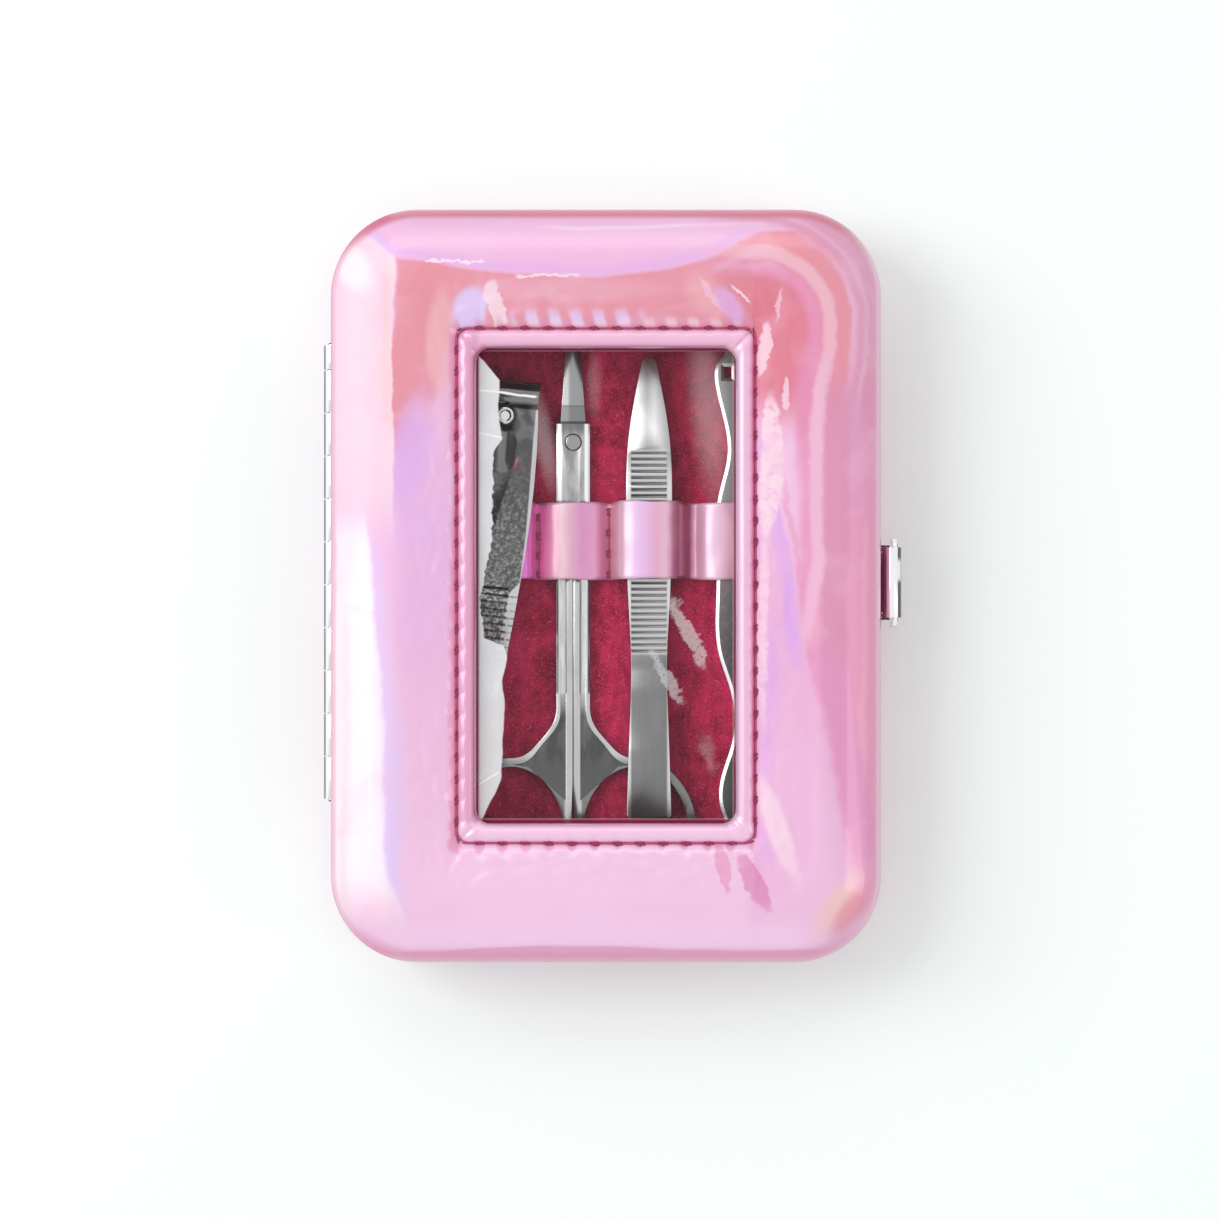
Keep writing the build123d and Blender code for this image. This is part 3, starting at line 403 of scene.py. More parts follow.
def lid_skin_finish():
    """The lid's skin: painted reflections of the studio, tinted by its film, in bands round the
    window.
    """
    skin = start_skin("pink_lid_skin")
    # Three copies of the plan, on which edges wander more and more.
    far = skin.warp(skin.place(), 24, 1.2)
    near = skin.warp(far, 2.6, 0.5)
    ragged = skin.warp(near, 1.1, 0.6)
    x, y, _ = skin.split(far)
    sx = skin.split(near)[0]
    rx, ry, _ = skin.split(ragged)
    ring = skin.ring(far, SEAM_HALF)
    inset = 0 - (x.size() - HALF_X).larger(y.size() - HALF_Y)
    arc = y - skin.follow(x, TOP_BAND_FOOT)
    over = arc.above(-0.45, 0.5)
    under = 1 - over
    streak = skin.ring(near, SEAM_HALF) - skin.follow(y, STREAK)
    slant = x + (sx - x) * 1.6 - skin.follow(y, LIGHT_GROUND)
    glow = sx - skin.follow(y, GLOW_EDGE)
    top, foot = y.above(33.5, 37.0), y.below(-44, -40)
    left, right, bend = x.below(-20.6, -19.6), x.above(20.0, 20.8), x.above(10, 22)
    # A pillow of skin stands over every stitch of the seam's top run, painted pale as a highlight
    # with painted shade between, and the skin is drawn in at every hole of its lowest run, with
    # painted shade round each hole.
    turns = 2 * math.pi * STITCHES_ACROSS / (2 * SEAM_HALF[0])
    lean = x + (sx - x) * 0.8 + (y - SEAM_HALF[1]) * 0.22
    pillow = 0.5 - ((SEAM_HALF[0] - lean) * turns).cosine() * 0.5
    pinch = ((SEAM_HALF[0] - x) * turns).cosine() * 0.5 + 0.5
    pinch = pinch * y.below(-34, -33) * x.band(-20.5, 20.5, 0.5)
    ragged_glint = skin.noise(1.5, detail=3, distortion=0.6).above(0.36, 0.52) * 0.55 + 0.45
    oval = skin.oval
    layers = [
        # The ground and its painted reflections, tinted by the film: coral at the top,
        # and the hinge side's broad tints.
        (LILAC_PINK, x.above(-31, -27) * x.below(-22, -18), 0.8),
        (CORAL, under * y.above(32.5, 37.5) * sx.band(-29.0, 26, 0.8), 0.92),
        (PALE_PINK, oval(near, (-6, 40.8), (13, 1.6), 0.9), 0.3),
        (DEEP_CORAL, oval(near, (24.0, 37.0), (8.2, 14.0), 0.7, -4), 0.95),
        (CORAL, oval(near, (-25.9, 31.8), (3.7, 14.0), 0.25, 10), 0.95),
        (PEACH, oval(near, (-22.6, 33.5), (1.9, 7.5), 0.6), 0.75),
        (VIOLET, oval(far, (-27.0, 18.5), (2.6, 7.5), 0.9, 14), 0.85),
        (VIOLET, oval(far, (-25.5, 4.0), (4.2, 13.0), 1.4), 0.5),
        (PALE_LILAC, y.below(-42, -8), 0.7),
        # Painted highlights over the seam's top run and round its corners, with painted shade
        # between the pillows.
        (ICE_VIOLET, oval(near, (-18.6, 38.2), (2.5, 3.3), 0.5, 20), 0.95),
        (BLUSH_WHITE, oval(near, (-15.6, 40.6), (1.0, 1.7), 0.4, 20), 0.8),
        (BLUSH_WHITE, skin.zone(ragged, (-14.6, 38.0), (1.1, 2.2), 0.4, -14), 0.85),
        (ICE_VIOLET, ring.band(0.3, 2.6, 1.8) * pillow.above(0.1, 0.8) * top
         * x.band(-12.5, 5, 2.5), 0.8),
        (BLUSH_WHITE, ring.band(0.1, 1.3, 1.4) * pillow.above(0.3, 0.9) * top
         * x.band(-12, 19, 2.5), 0.75),
        (ROSE, ring.band(-0.5, 1.6, 1.6) * pillow.below(0.0, 0.4) * top, 0.55),
        (PEACH, oval(near, (14.0, 39.8), (1.9, 3.4), 1.2, -35), 0.6),
        (PALE_PINK, oval(ragged, (14.6, 40.2), (0.5, 2.6), 0.5, -35), 0.7),
        (VIOLET, oval(near, (17.4, 38.6), (1.3, 2.9), 0.8, -38), 0.7),
        (BLUSH_WHITE, oval(ragged, (19.0, 40.0), (0.25, 1.9), 0.4, -48), 0.8),
        (BLUSH_WHITE, oval(ragged, (24.0, 38.4), (0.25, 2.2), 0.5, 8), 0.55),
        # The pale band along the top: a painted highlight on the roll, with thin painted
        # highlight streaks under it.
        (PALE_PINK, arc.band(-2.4, -1.4, 0.9) * x.band(15, 27, 4), 0.5),
        (LILAC_PINK, over, 0.9),
        (PALE_LILAC, over * x.band(-33, 24, 5.0) * inset.band(2.2, 5.6, 1.6), 0.45),
        (VIOLET, arc.band(0.2, 1.5, 1.4) * x.band(-31, 19, 5.0), 0.6),
        (NEAR_WHITE, inset.band(2.3, 2.8, 0.4) * top * x.band(-8, 24, 5.0), 0.4),
        (NEAR_WHITE, (ry - 44.9).size().band(-1, 0.2, 0.2) * rx.band(-24.8, -16.2, 0.6), 0.75),
        (NEAR_WHITE, (ry - 42.8).size().band(-1, 0.2, 0.2) * rx.band(-11.8, -3.6, 0.6), 0.75),
        (ICE_VIOLET, oval(far, (-32.4, 46.4), (2.8, 1.9), 0.9, 30), 0.85),
        # The roll on the hinge side: the window light's painted highlight and white glow.
        (PEACH_WHITE, sx.band(-37.9, -29.2, 0.4) * y.above(4, 16) * under, 0.9),
        (MILK_WHITE, oval(far, (-35.4, 44.6), (2.4, 4.6), 0.8, -34), 0.8),
        (APRICOT, sx.band(-30.6, -29.5, 0.7) * y.band(24, 44, 10) * under, 0.35),
        (MILK_WHITE, glow.band(-9, -0.5, 0.7) * sx.above(-38, -37) * y.below(5, 13)
         * y.above(-50, -38), 0.9),
        (APRICOT, sx.band(-36.0, -35.0, 1.0) * y.below(-8, 0) * y.above(-48, -40), 0.25),
        (ICE_VIOLET, glow.band(-0.9, 0.9, 1.0) * y.below(2, 10) * y.above(-46, -38), 0.6),
        (ICE_VIOLET, oval(far, (-28.6, -30), (1.3, 13), 1.0), 0.5),
        (ROSE, ring.band(-1, 1.1, 0.8) * left * y.band(-38, 36, 4), 0.85),
        # The clasp side, all painted reflection: streaks that bend round the top corner, then
        # the light ground.
        (ROSE, x.above(25.2, 27.0) * y.band(-34, 30, 10), 0.75),
        (ROSE, streak.band(-2.8, -1.0, 1.4) * bend * y.above(8, 24), 0.8),
        (LILAC_PINK, streak.band(-2.2, -1.3, 0.8) * y.above(42, 45) * bend, 0.5),
        (CORAL, streak.band(0.9, 3.0, 0.9) * bend * y.above(18, 30)
         * (1 - over * y.above(44, 46)), 0.9),
        (ROSE, sx.above(31.4, 32.2) * y.band(-46, 20, 6), 0.8),
        (DUSKY_ROSE, streak.above(3.0, 4.2) * bend * y.above(16, 26), 0.7),
        (DUSKY_LILAC, sx.band(32.6, 34.4, 0.5) * y.band(10, 26, 5), 0.4),
        (PALE_PINK, streak.band(4.8, 5.4, 0.8) * bend * y.above(20, 30), 0.4),
        (DUSKY_ROSE, sx.band(29.4, 33.0, 1.2) * y.band(-12, 28, 6), 0.75),
        (PEACH, sx.band(35.0, 36.0, 0.6) * y.band(-36, 9, 3), 0.4),
        (LILAC_PINK, slant.below(-1.0, 1.0) * x.above(19, 21) * y.below(0, 12), 0.95),
        (PALE_LILAC, slant.below(-3.5, -0.8) * x.above(20, 23) * y.below(-26, -8), 0.4),
        (ROSE, slant.band(-0.3, 0.5, 0.7) * y.band(-14, 14, 6), 0.5),
        (ORCHID, slant.band(0.6, 4.6, 1.6) * y.below(-14, -4) * y.above(-42, -32), 0.85),
        (VIOLET, slant.band(-2.6, -0.9, 1.0) * right * y.band(-10, 20, 6), 0.85),
        (VIOLET, oval(far, (22.6, -16.0), (1.3, 10), 0.9, 3), 0.5),
        (PALE_PINK, streak.band(-0.85, 0.85, 0.9) * bend * y.band(-7, 50, 3.0), 0.75),
        (PEACH, streak.band(-0.6, 0.8, 0.8) * bend * y.above(28, 36), 0.6),
        # Painted highlights beside the seam, in white patches.
        (PEACH_WHITE, oval(ragged, (22.3, 16.5), (1.5, 9.4), 0.3, 3) * ragged_glint, 0.95),
        (PEACH_WHITE, oval(ragged, (22.0, 32.4), (0.9, 3.6), 0.3, 8), 0.8),
        (PEACH_WHITE, oval(ragged, (24.7, 26.4), (0.45, 2.2), 0.35, 6), 0.75),
        (PEACH_WHITE, oval(ragged, (21.6, -6.0), (0.8, 12.0), 0.5, 0) * ragged_glint, 0.65),
        (BLUSH_WHITE, oval(near, (23.6, -33.2), (1.4, 7.4), 0.7, -20), 0.75),
        (VIOLET, oval(near, (21.9, -35.6), (0.8, 3.2), 0.9, -20), 0.35),
        # The foot, from the seam's holes down to the edge: painted shade round each hole,
        # painted highlights below them, painted reflections, and a painted lilac highlight
        # band inside the orchid and rose edge lines.
        (ROSE, (pinch * 1.6 - ring).above(0.1, 0.7) * pinch.above(0.3, 0.8), 0.75),
        (BLUSH_WHITE, ring.band(1.5, 2.0, 0.4) * pinch.above(0.3, 0.9), 0.35),
        (ROSE, oval(ragged, (16.2, -38.7), (0.9, 3.4), 0.25, -10), 0.75),
        (ORCHID, oval(ragged, (20.5, -40.5), (1.35, 4.4), 0.25, -28), 0.9),
        (APRICOT, oval(far, (31.4, -44.0), (1.7, 5.0), 1.2, 35), 0.75),
        (CORAL, oval(far, (33.3, -44.6), (1.4, 3.8), 1.0, 35), 0.75),
        (ORCHID, inset.band(-1, 2.15, 0.3) * foot * x.band(-32, 31, 8), 0.65),
        (LIGHT_LILAC, inset.above(2.15, 2.6) * inset.below(3.5, 8) * foot
         * x.band(-31, 29, 8), 0.85),
        (ROSE, inset.band(-1, 1.0, 0.5) * foot, 0.9),
    ]
    tint = skin.mix(0.35, PALE_LILAC, drifting_tint(skin))
    tint = skin.lay(tint, *((where * strength, colour) for colour, where, strength in layers))
    cloud = skin.noise(7, detail=2, distortion=0.8).above(0.5, 0.72)
    nx, ny, _ = skin.normal()
    toward_light, head, heel = (0 - nx).above(0.3, 0.8), ny.above(0.3, 0.8), (0 - ny).above(0.3, 0.8)
    edge = skin.mix(toward_light.larger(nx.above(0.2, 0.7) * 0.7), ROSE, PALE_PINK)
    rim = inset.below(5, 6)
    # Share of the way up the outer roll.
    rise = (skin.spot()[2] - SIDE_FOOT) * (1 / (SKIN_TOP - SIDE_FOOT))
    # The coat is duller where hands have rubbed it: down the clasp side and the hinge side.
    hinge_side = x.below(-31, -28) * (0.55 + y.above(-2, 12) * 0.4)
    dull = (ring.band(-1, 8.5, 3) * right).larger(hinge_side)
    dull = dull.larger(over * y.above(40, 42) * 0.25)
    skin.set("Coat Weight", 1 - dull * 0.95)
    skin.set("Roughness", 0.28 + skin.noise(11) * 0.1 + dull * 0.4)
    # Round the outer roll, lines painted by which way the skin faces: a pale painted highlight
    # toward the window light, and coral and rose painted reflection lines round the rest.
    return skin.paint(
        tint,
        (cloud * 0.22, PALE_PINK),
        (rim * rise.below(0.42, 0.56) * 0.9, edge),
        (rim * rise.below(0.54, 0.68) * head * 0.85, CORAL_LINE),
        (rim * rise.below(0.6, 0.8) * heel * 0.75, ROSE),
        (rim * rise.below(0.16, 0.42) * (0.85 - toward_light * 0.3), ROSE_LINE),
    )


def plain_skin_finish(name):
    skin = start_skin(name)
    return skin.paint(drifting_tint(skin))


def binding_finish():
    """The binding: pale where it faces the light, rose where it turns away."""
    skin = start_skin("pink_binding")
    nx, ny, nz = skin.normal()
    x, y, _ = skin.spot()
    facing = ny * 0.5 - nx
    drift = skin.noise(7, distortion=0.6) * 0.6
    ground = skin.mix(drift, linear(240, 190, 218), linear(234, 172, 206))
    return skin.paint(
        ground,
        ((0 - facing).above(0.15, 0.75), linear(216, 122, 162)),
        (facing.above(0.3, 0.7) * 0.25, NEAR_WHITE),
        (x.below(-18, -17) * 0.6, linear(214, 138, 178)),
        (y.below(-33, -32) * 0.7, linear(246, 202, 232)),
        # Painted shade on the faces that turn downwards.
        (nz.below(-0.3, 0.3), linear(214, 112, 150)),
    )


# X along the strap and the tint painted there: highlights over the tools, shade in the dips.
STRAP_TINTS = [(-11.6, (250, 122, 228)), (-10.2, (250, 122, 214)), (-8.6, (248, 152, 202)),
               (-7.2, (242, 172, 200)), (-6.2, (252, 220, 232)), (-5.0, (236, 184, 208)),
               (-3.4, (226, 150, 206)), (-1.4, (232, 162, 204)), (-0.2, (220, 138, 180)),
               (1.2, (242, 190, 206)), (2.8, (244, 208, 230)), (4.6, (236, 196, 244)),
               (7.0, (240, 178, 212)), (8.4, (244, 200, 222)), (9.4, (226, 140, 180)),
               (10.6, (190, 72, 120)), (11.6, (206, 100, 146)), (12.6, (252, 192, 222)),
               (15.0, (255, 220, 244)), (17.0, (252, 196, 226)), (24.0, (240, 178, 208))]
STRAP_START, STRAP_SPAN = -12.0, 37.0


def strap_skin_finish():
    """The strap's skin: magenta by the clipper, a painted highlight over each tool, painted shade
    in the dips.
    """
    skin = start_skin("pink_strap_skin")
    skin.set("Coat Weight", 0.35)
    skin.set("Roughness", 0.4)
    x = skin.split(skin.warp(skin.place(), 4, 0.5))[0]
    stops = [((place - STRAP_START) / STRAP_SPAN, linear(*tint)) for place, tint in STRAP_TINTS]
    tint = skin.ramp((x - STRAP_START) * (1 / STRAP_SPAN), stops)
    drift = skin.noise(5, detail=2, distortion=0.8, stretch=(1, 0.5, 1)).above(0.4, 0.7)
    return skin.paint(tint, (drift * 0.2, linear(244, 184, 200)))


def velvet_finish():
    """Raspberry velvet with a nap that lies in patches."""
    cloth = Finish("velvet", roughness=0.9, specular_ior_level=0.12, sheen_weight=0.25,
                   sheen_roughness=0.35, sheen_tint=linear(255, 80, 130))
    patches = cloth.noise(7, detail=3, roughness=0.65, distortion=1.2)
    strokes = cloth.noise(1.3, detail=3, stretch=(1, 0.4, 1), turn=0.4)
    nap = patches.above(0.36, 0.64) * 0.55 + strokes.above(0.3, 0.7) * 0.45
    hairs = cloth.noise(0.55, detail=3, roughness=0.65, distortion=2.5).above(0.54, 0.64)
    cloth.bump(cloth.noise(0.35, detail=4) * 0.6 + patches * 0.8, 0.12, 0.8)
    tint = cloth.mix(nap, linear(150, 6, 50), linear(224, 42, 98))
    return cloth.paint(tint, (hairs * 0.7, linear(236, 96, 142)))


def grey(level):
    return linear(level, level, level + 1)


def steel_finish(name, flat, bright=255, dark=58, roughness=0.16, grain=0.25, turn=0.0):
    """Polished steel: pale where it faces the window light, dark where it turns away."""
    steel = Finish(name, metallic=1.0)
    streaks = steel.noise(0.22, detail=2, stretch=(1, 0.02, 1), turn=turn)
    smears = steel.noise(6, detail=3, distortion=0.8, stretch=(1, 0.5, 1))
    nx, ny, _ = steel.normal()
    turned = ny * 0.55 - nx
    steel.paint(
        steel.mix(streaks * grain + smears * (1 - grain), grey(flat - 32), grey(flat + 26)),
        (turned.above(0.10, 0.5), grey(bright)),
        ((0 - turned).above(0.12, 0.6) * 0.9, grey(dark)),
    )
    steel.set("Roughness", roughness * 0.86 + smears * (roughness * 0.28))
    steel.bump(streaks, 0.006, grain)
    return steel


def scissors_finish():
    """Nickel with painted shade in its pressed channels, web and rings, and ground blades."""
    steel = steel_finish("scissors_nickel", 194, roughness=0.2, grain=0.15)
    x, y, z = steel.spot()
    across = x - SCISSORS_X
    off = across.size()
    sunk = z.band(5.9, 6.3, 0.1) * y.below(10.6, 11.4)
    reflection_mottle = steel.noise(1.6, detail=4, stretch=(1, 0.3, 1)).above(0.4, 0.62)
    web = y.below(*SCISSORS_WEB)
    shank = y.band(*SCISSORS_SHANK, 0.6)
    joint = y.band(*SCISSORS_JOINT, 0.2)
    blade = y.above(22.7, 22.9)
    return steel.paint(
        steel.tone(),
        # Painted shade in the channels, the web and the rings, and painted highlight and shade
        # lines down the shank.
        (sunk * (1 - web) * (0.12 + reflection_mottle * 0.3), grey(84)),
        (shank * off.band(1.2, 1.9, 0.15) * (0.3 + reflection_mottle * 0.4), grey(236)),
        (shank * off.band(2.06, 2.8, 0.1) * (0.7 + reflection_mottle * 0.25), grey(44)),
        (shank * off.band(0.9, 1.04, 0.1) * 0.85, grey(62)),
        (sunk * web * (0.86 + reflection_mottle * 0.1), grey(70)),
        (off.band(1.2, 20, 0.4) * y.below(-25.4, -23.2) * 0.75, grey(92)),
        # The joint has painted shade by the shoulder and painted highlights down both sides.
        (joint * (off - 0.1).band(-1, 1.5, 0.5) * (0.25 + reflection_mottle * 0.4), grey(120)),
        (joint * y.above(20.6, 22.4) * 0.6, grey(70)),
        (joint * off.band(1.6, 2.1, 0.3) * 0.9, grey(250)),
        # The blades are ground: one facet painted lit and the other shaded, darker lower down,
        # with a line across where the grinding begins.
        (blade * 0.85, steel.mix(across.above(-0.9, -0.3), grey(214), grey(146))),
        (blade * y.below(25.2, 25.5) * 0.6, grey(112)),
        (y.band(25.1, 25.3, 0.1) * 0.4, grey(96)),
        (y.band(22.7, 23.1, 0.1) * 0.8, grey(52)),
    )


# How far across the lever its painted highlight begins, from low to high.
LEVER_EDGE = [
    (-20, 2.0), (-10, 2.2), (-4, 2.55), (-1, 2.9), (0.5, 4.2), (7, 4.35), (12, 4.3),
    (20, 4.1), (30, 4.0),
]


def lever_finish():
    """The clipper's lever: a painted dark mottled reflection, with a painted highlight on its right
    edge.
    """
    lean = math.radians(CLIPPER_TURN)
    steel = steel_finish("lever_steel", 96, bright=250, dark=90, roughness=0.14, grain=0.1,
                         turn=lean)
    x, y, _ = steel.spot()
    post_x, post_y = x - CLIPPER_POST[0], y - CLIPPER_POST[1]
    across = post_x * math.cos(lean) - post_y * math.sin(lean)
    along = post_x * math.sin(lean) + post_y * math.cos(lean)
    # The mirror's painted reflection: dark, with lighter flecks and clouds and glints over the
    # grip, and a raspberry patch by the slot where the velvet is reflected.
    flecks = steel.noise(0.5, detail=3, roughness=0.7).above(0.4, 0.7)
    cloudy = steel.noise(3, detail=3, distortion=1.0).above(0.4, 0.62)
    velvet_reflection = steel.oval(steel.warp(steel.place(), 1.5, 0.6), (-13.1, 17.6), (0.8, 1.8), 0.6, -25)
    mottled = steel.lay(
        steel.mix(flecks * y.below(4, 22), grey(82), grey(158)),
        (y.above(14, 24) * cloudy * 0.5, grey(150)),
        (velvet_reflection * 0.6, linear(128, 26, 60)),
    )
    # The rolled-over side: a thin painted highlight that widens over the grip, where ridges cut it.
    rolled = across - steel.follow(y, LEVER_EDGE)
    notch = (along * (2 * math.pi)).cosine().above(0.5, 0.9) * y.below(-1.5, -0.5) * 0.7
    steel.set("Roughness", 0.13 + y.below(-2.1, -1.9) * 0.32)
    return steel.paint(
        steel.tone(),
        (0.85, mottled),
        (y.below(-2, 1) * flecks.above(0.1, 0.6) * 0.7, grey(196)),
        (rolled.above(0.0, 0.25) * (0.95 - notch), grey(202)),
    )


def tweezer_finish():
    """Brushed steel, painted light and shade on the rounded tip, grip and sides, greyer down the
    tail.
    """
    steel = steel_finish("tweezer_steel", 154, bright=244, roughness=0.34, grain=0.6)
    x, y, _ = steel.spot()
    across = x - TWEEZERS_X
    off = across.size()
    # The rounded tip, painted lit across, darker in a U towards the grip, with painted shade down
    # its sides.
    tip = steel.lay(
        steel.ramp(across * 0.16 + 0.5, [(0.0, grey(222)), (0.28, grey(212)), (0.45, grey(190)),
                                         (0.62, grey(226)), (0.8, grey(196)), (1.0, grey(160))]),
        ((y + across * across * 0.7).below(18.8, 22.4) * 0.75, grey(132)),
        (steel.normal()[0].size().above(0.08, 0.4) * 0.85, grey(142)),
    )
    # The grip's ridges, painted as alternate lines of highlight and shade.
    groove = ((y - GRIP_MID_Y) * (2 * math.pi / GRIP_PITCH)).cosine().above(-0.2, 0.5)
    gripped = y.band(GRIP_MID_Y - GRIP_REACH, GRIP_MID_Y + GRIP_REACH, 0.2) * off.below(2.35, 2.6)
    tail = y.below(-11, -9)
    return steel.paint(
        steel.tone(),
        (y.above(18.4, 18.9), tip),
        (gripped * (1 - groove) * 0.7, grey(206)),
        (gripped * groove * 0.6, grey(128)),
        (tail * (0.45 + steel.noise(5, stretch=(1, 0.4, 1)) * 0.4), grey(112)),
        (off.above(2.35, 2.7) * y.below(14, 20) * 0.7, grey(236)),
    )


def pusher_finish():
    """The pusher's plate: mid grey, darker towards its foot, in a painted highlight round its edge.
    """
    steel = steel_finish("pusher_steel", 178, bright=255, dark=110, roughness=0.34, grain=0.3)
    y, nz = steel.spot()[1], steel.normal()[2]
    mottled = steel.noise(0.9, detail=3, roughness=0.7).above(0.45, 0.65) * y.band(-14, 8, 6)
    dusk = steel.mix(y.above(-14, 24), grey(104), grey(172))
    dusk = steel.lay(dusk, (mottled * 0.4, linear(168, 132, 154)))
    return steel.paint(steel.mix(nz.above(0.975, 0.99), grey(218), dusk))


def hinge_finish():
    """The hinge: bright rounds with painted shade at each end, on the far side and on the outer
    edge.
    """
    steel = steel_finish("hinge_nickel", 222, roughness=0.12, grain=0.1)
    nx, ny, _ = steel.normal()
    return steel.paint(
        steel.tone(),
        (ny.size().above(0.2, 0.6), grey(60)),
        (nx.above(0.3, 0.7) * 0.8, grey(110)),
        ((0 - nx).above(0.6, 0.85) * 0.9, grey(96)),
    )


def clasp_finish():
    """The clasp's button: nearly white, with a thin painted shade line where its front turns down.
    """
    steel = steel_finish("clasp_nickel", 240, dark=236, roughness=0.1, grain=0.1)
    x, y, _ = steel.spot()
    beside_grip = x.band(40.35, 41, 0.12) * (1 - y.band(0.8, 3.6, 1.0))
    front = steel.normal()[0].above(0.86, 0.97).larger(beside_grip)
    return steel.paint(steel.tone(), (front * 0.9, grey(66)))


def bracket_finish():
    """The clasp's bracket: painted reflection of the pink skin beside it, darker in shade by the
    case.
    """
    steel = Finish("bracket_nickel", metallic=0.35, roughness=0.4)
    blush = [(0.0, linear(150, 66, 112)), (0.3, linear(150, 70, 114)), (0.6, linear(190, 118, 160)),
             (1.0, linear(210, 176, 192))]
    mauve = steel.ramp((steel.spot()[0] - 37.9) * (1 / 1.5), blush)
    return steel.paint(mauve, (steel.noise(1.5) * 0.2, linear(214, 150, 186)))


def board_finish():
    board = Finish("board", roughness=0.85)
    fibres = board.noise(0.8, detail=4, stretch=(1, 0.3, 1))
    board.bump(fibres, 0.06, 0.6)
    return board.paint(board.mix(fibres, linear(120, 98, 84), linear(168, 146, 126)))


# How far the painted glare along the film's hinge side reaches in, from foot to head:
# height on the film, then X.
GLARE_EDGE = [
    (-34, -17.6), (-32.0, -17.0), (-28.3, -15.2), (-26.5, -14.4), (-15.7, -14.0),
    (-13.1, -14.3), (-9.6, -13.5), (-8.2, -14.2), (-7.2, -16.8), (-1.5, -17.3), (3.5, -16.3),
    (6.5, -15.6), (18.5, -15.5), (20.2, -14.3), (24.8, -14.9), (28.2, -14.6), (31.6, -17.5),
    (34, -17.8),
]


def film_finish():
    """Clear flexible film: painted glare along one side, painted crease highlights, and smears."""
    film = Finish("clear_film", roughness=0.05, specular_ior_level=0.14)
    near = film.warp(film.place(), 3.0, 0.22)
    ragged = film.warp(near, 0.7, 0.4)
    torn = film.warp(film.warp(near, 2.2, 1.3), 0.45, 0.5)
    x, y, _ = film.split(near)
    rough_x = film.split(ragged)[0]
    plain_x, plain_y, _ = film.spot()
    glare = (x + (rough_x - x) * y.band(-9, 18, 3) - film.follow(y, GLARE_EDGE)).below(-0.12, 0.12)
    cloud = film.noise(6, detail=3, distortion=1.0)
    glare_veil = glare * (0.78 + y.above(-8, 6) * 0.06) * (0.9 + cloud * 0.2)
    # The creases, painted as thin white highlights.
    creases = 0
    for height, slope, reach in ((26.8, 0.13, -9.6), (20.8, 0.2, -14.3), (-26.4, -0.6, -14.6)):
        gap = (y - height + (x + 16) * slope).size()
        creases = (gap.below(0.06, 0.24) * x.below(reach - 0.3, reach + 0.3)).larger(creases)
    rubbed = film.noise(0.4, detail=4, roughness=0.75).above(0.34, 0.46)
    smears = (film.oval(torn, (11.3, -6.3), (0.9, 5.4), 0.45, -27) * 0.38
              + film.oval(torn, (8.4, -12.7), (0.8, 4.0), 0.45, -30) * 0.34
              + film.oval(torn, (14.0, -23.2), (0.8, 2.4), 1.2, -18) * 0.12) * rubbed
    # Soft painted glare in patches.
    soft_glare = (film.oval(near, (14.2, 23.6), (2.0, 9.5), 1.5, -6) * 0.17
            + film.oval(near, (-8.4, 19.6), (1.1, 5.2), 1.4, -10) * 0.16
            + film.oval(near, (-1.6, 27.5), (0.8, 3.5), 1.4) * 0.08)
    # The raspberry shadow line inside the binding, broadest at the foot.
    sides = (OPENING_HALF[0] - plain_x.size()).below(0.1, 0.5)
    rim = sides.larger(plain_y.above(32.2, 32.4)).larger(plain_y.below(-32.2, -31.9))
    film.set("Alpha", (0.02 + glare_veil.larger(creases * 0.9) + smears + soft_glare).larger(rim * 0.85))
    film.bump(film.noise(5, detail=2), 0.05, 0.2)
    clear = film.mix(glare, linear(246, 244, 246), linear(238, 241, 243))
    return film.paint(clear, (creases, linear(255, 255, 255)), (rim, linear(140, 34, 72)))


def thread_finish():
    thread = Finish("thread", roughness=0.55, sheen_weight=0.2)
    twist = thread.noise(0.3, detail=1, turn=0.7)
    thread.bump(twist, 0.06, 0.8)
    return thread.paint(thread.mix(twist, linear(160, 44, 84), linear(202, 88, 130)))


def hole_finish():
    hole = Finish("stitch_hole", roughness=0.9)
    # Dark raspberry, painted as the shade inside the hole.
    return hole.paint(hole.mix(hole.noise(0.4), linear(138, 36, 76), linear(178, 72, 112)))


lid_finish = lid_skin_finish()
base_finish = plain_skin_finish("pink_base_skin")
strap_finish = strap_skin_finish()
roll_finish = binding_finish()
velvet = velvet_finish()
board = board_finish()
film_material = film_finish()
thread = thread_finish()
hole = hole_finish()
rim_metal = steel_finish("rim_nickel", 206, roughness=0.14).material
clasp_metal = clasp_finish()
hinge_metal = hinge_finish()
bracket_metal = bracket_finish()
clipper_steel = steel_finish("clipper_steel", 120, bright=214, roughness=0.12, grain=0.1,
                             turn=math.radians(CLIPPER_TURN)).material
tweezer_steel = tweezer_finish()
pusher_steel = pusher_finish()
scissors_steel = scissors_finish()
lever_steel = lever_finish()


# ---- shared modelling ----------------------------------------------------------------
CORNER_STEPS = 20
SIDE_X_STEPS = 130
SIDE_Y_STEPS = 216


def part_way(start, end, share):
    """The point a share of the way from one point to another."""
    return tuple(a + (b - a) * share for a, b in zip(start, end))


def wander(x, y, seed):
    """A smooth random height over the plan, between about -1 and 1."""
    return noise.noise(Vector((x, y, seed)))


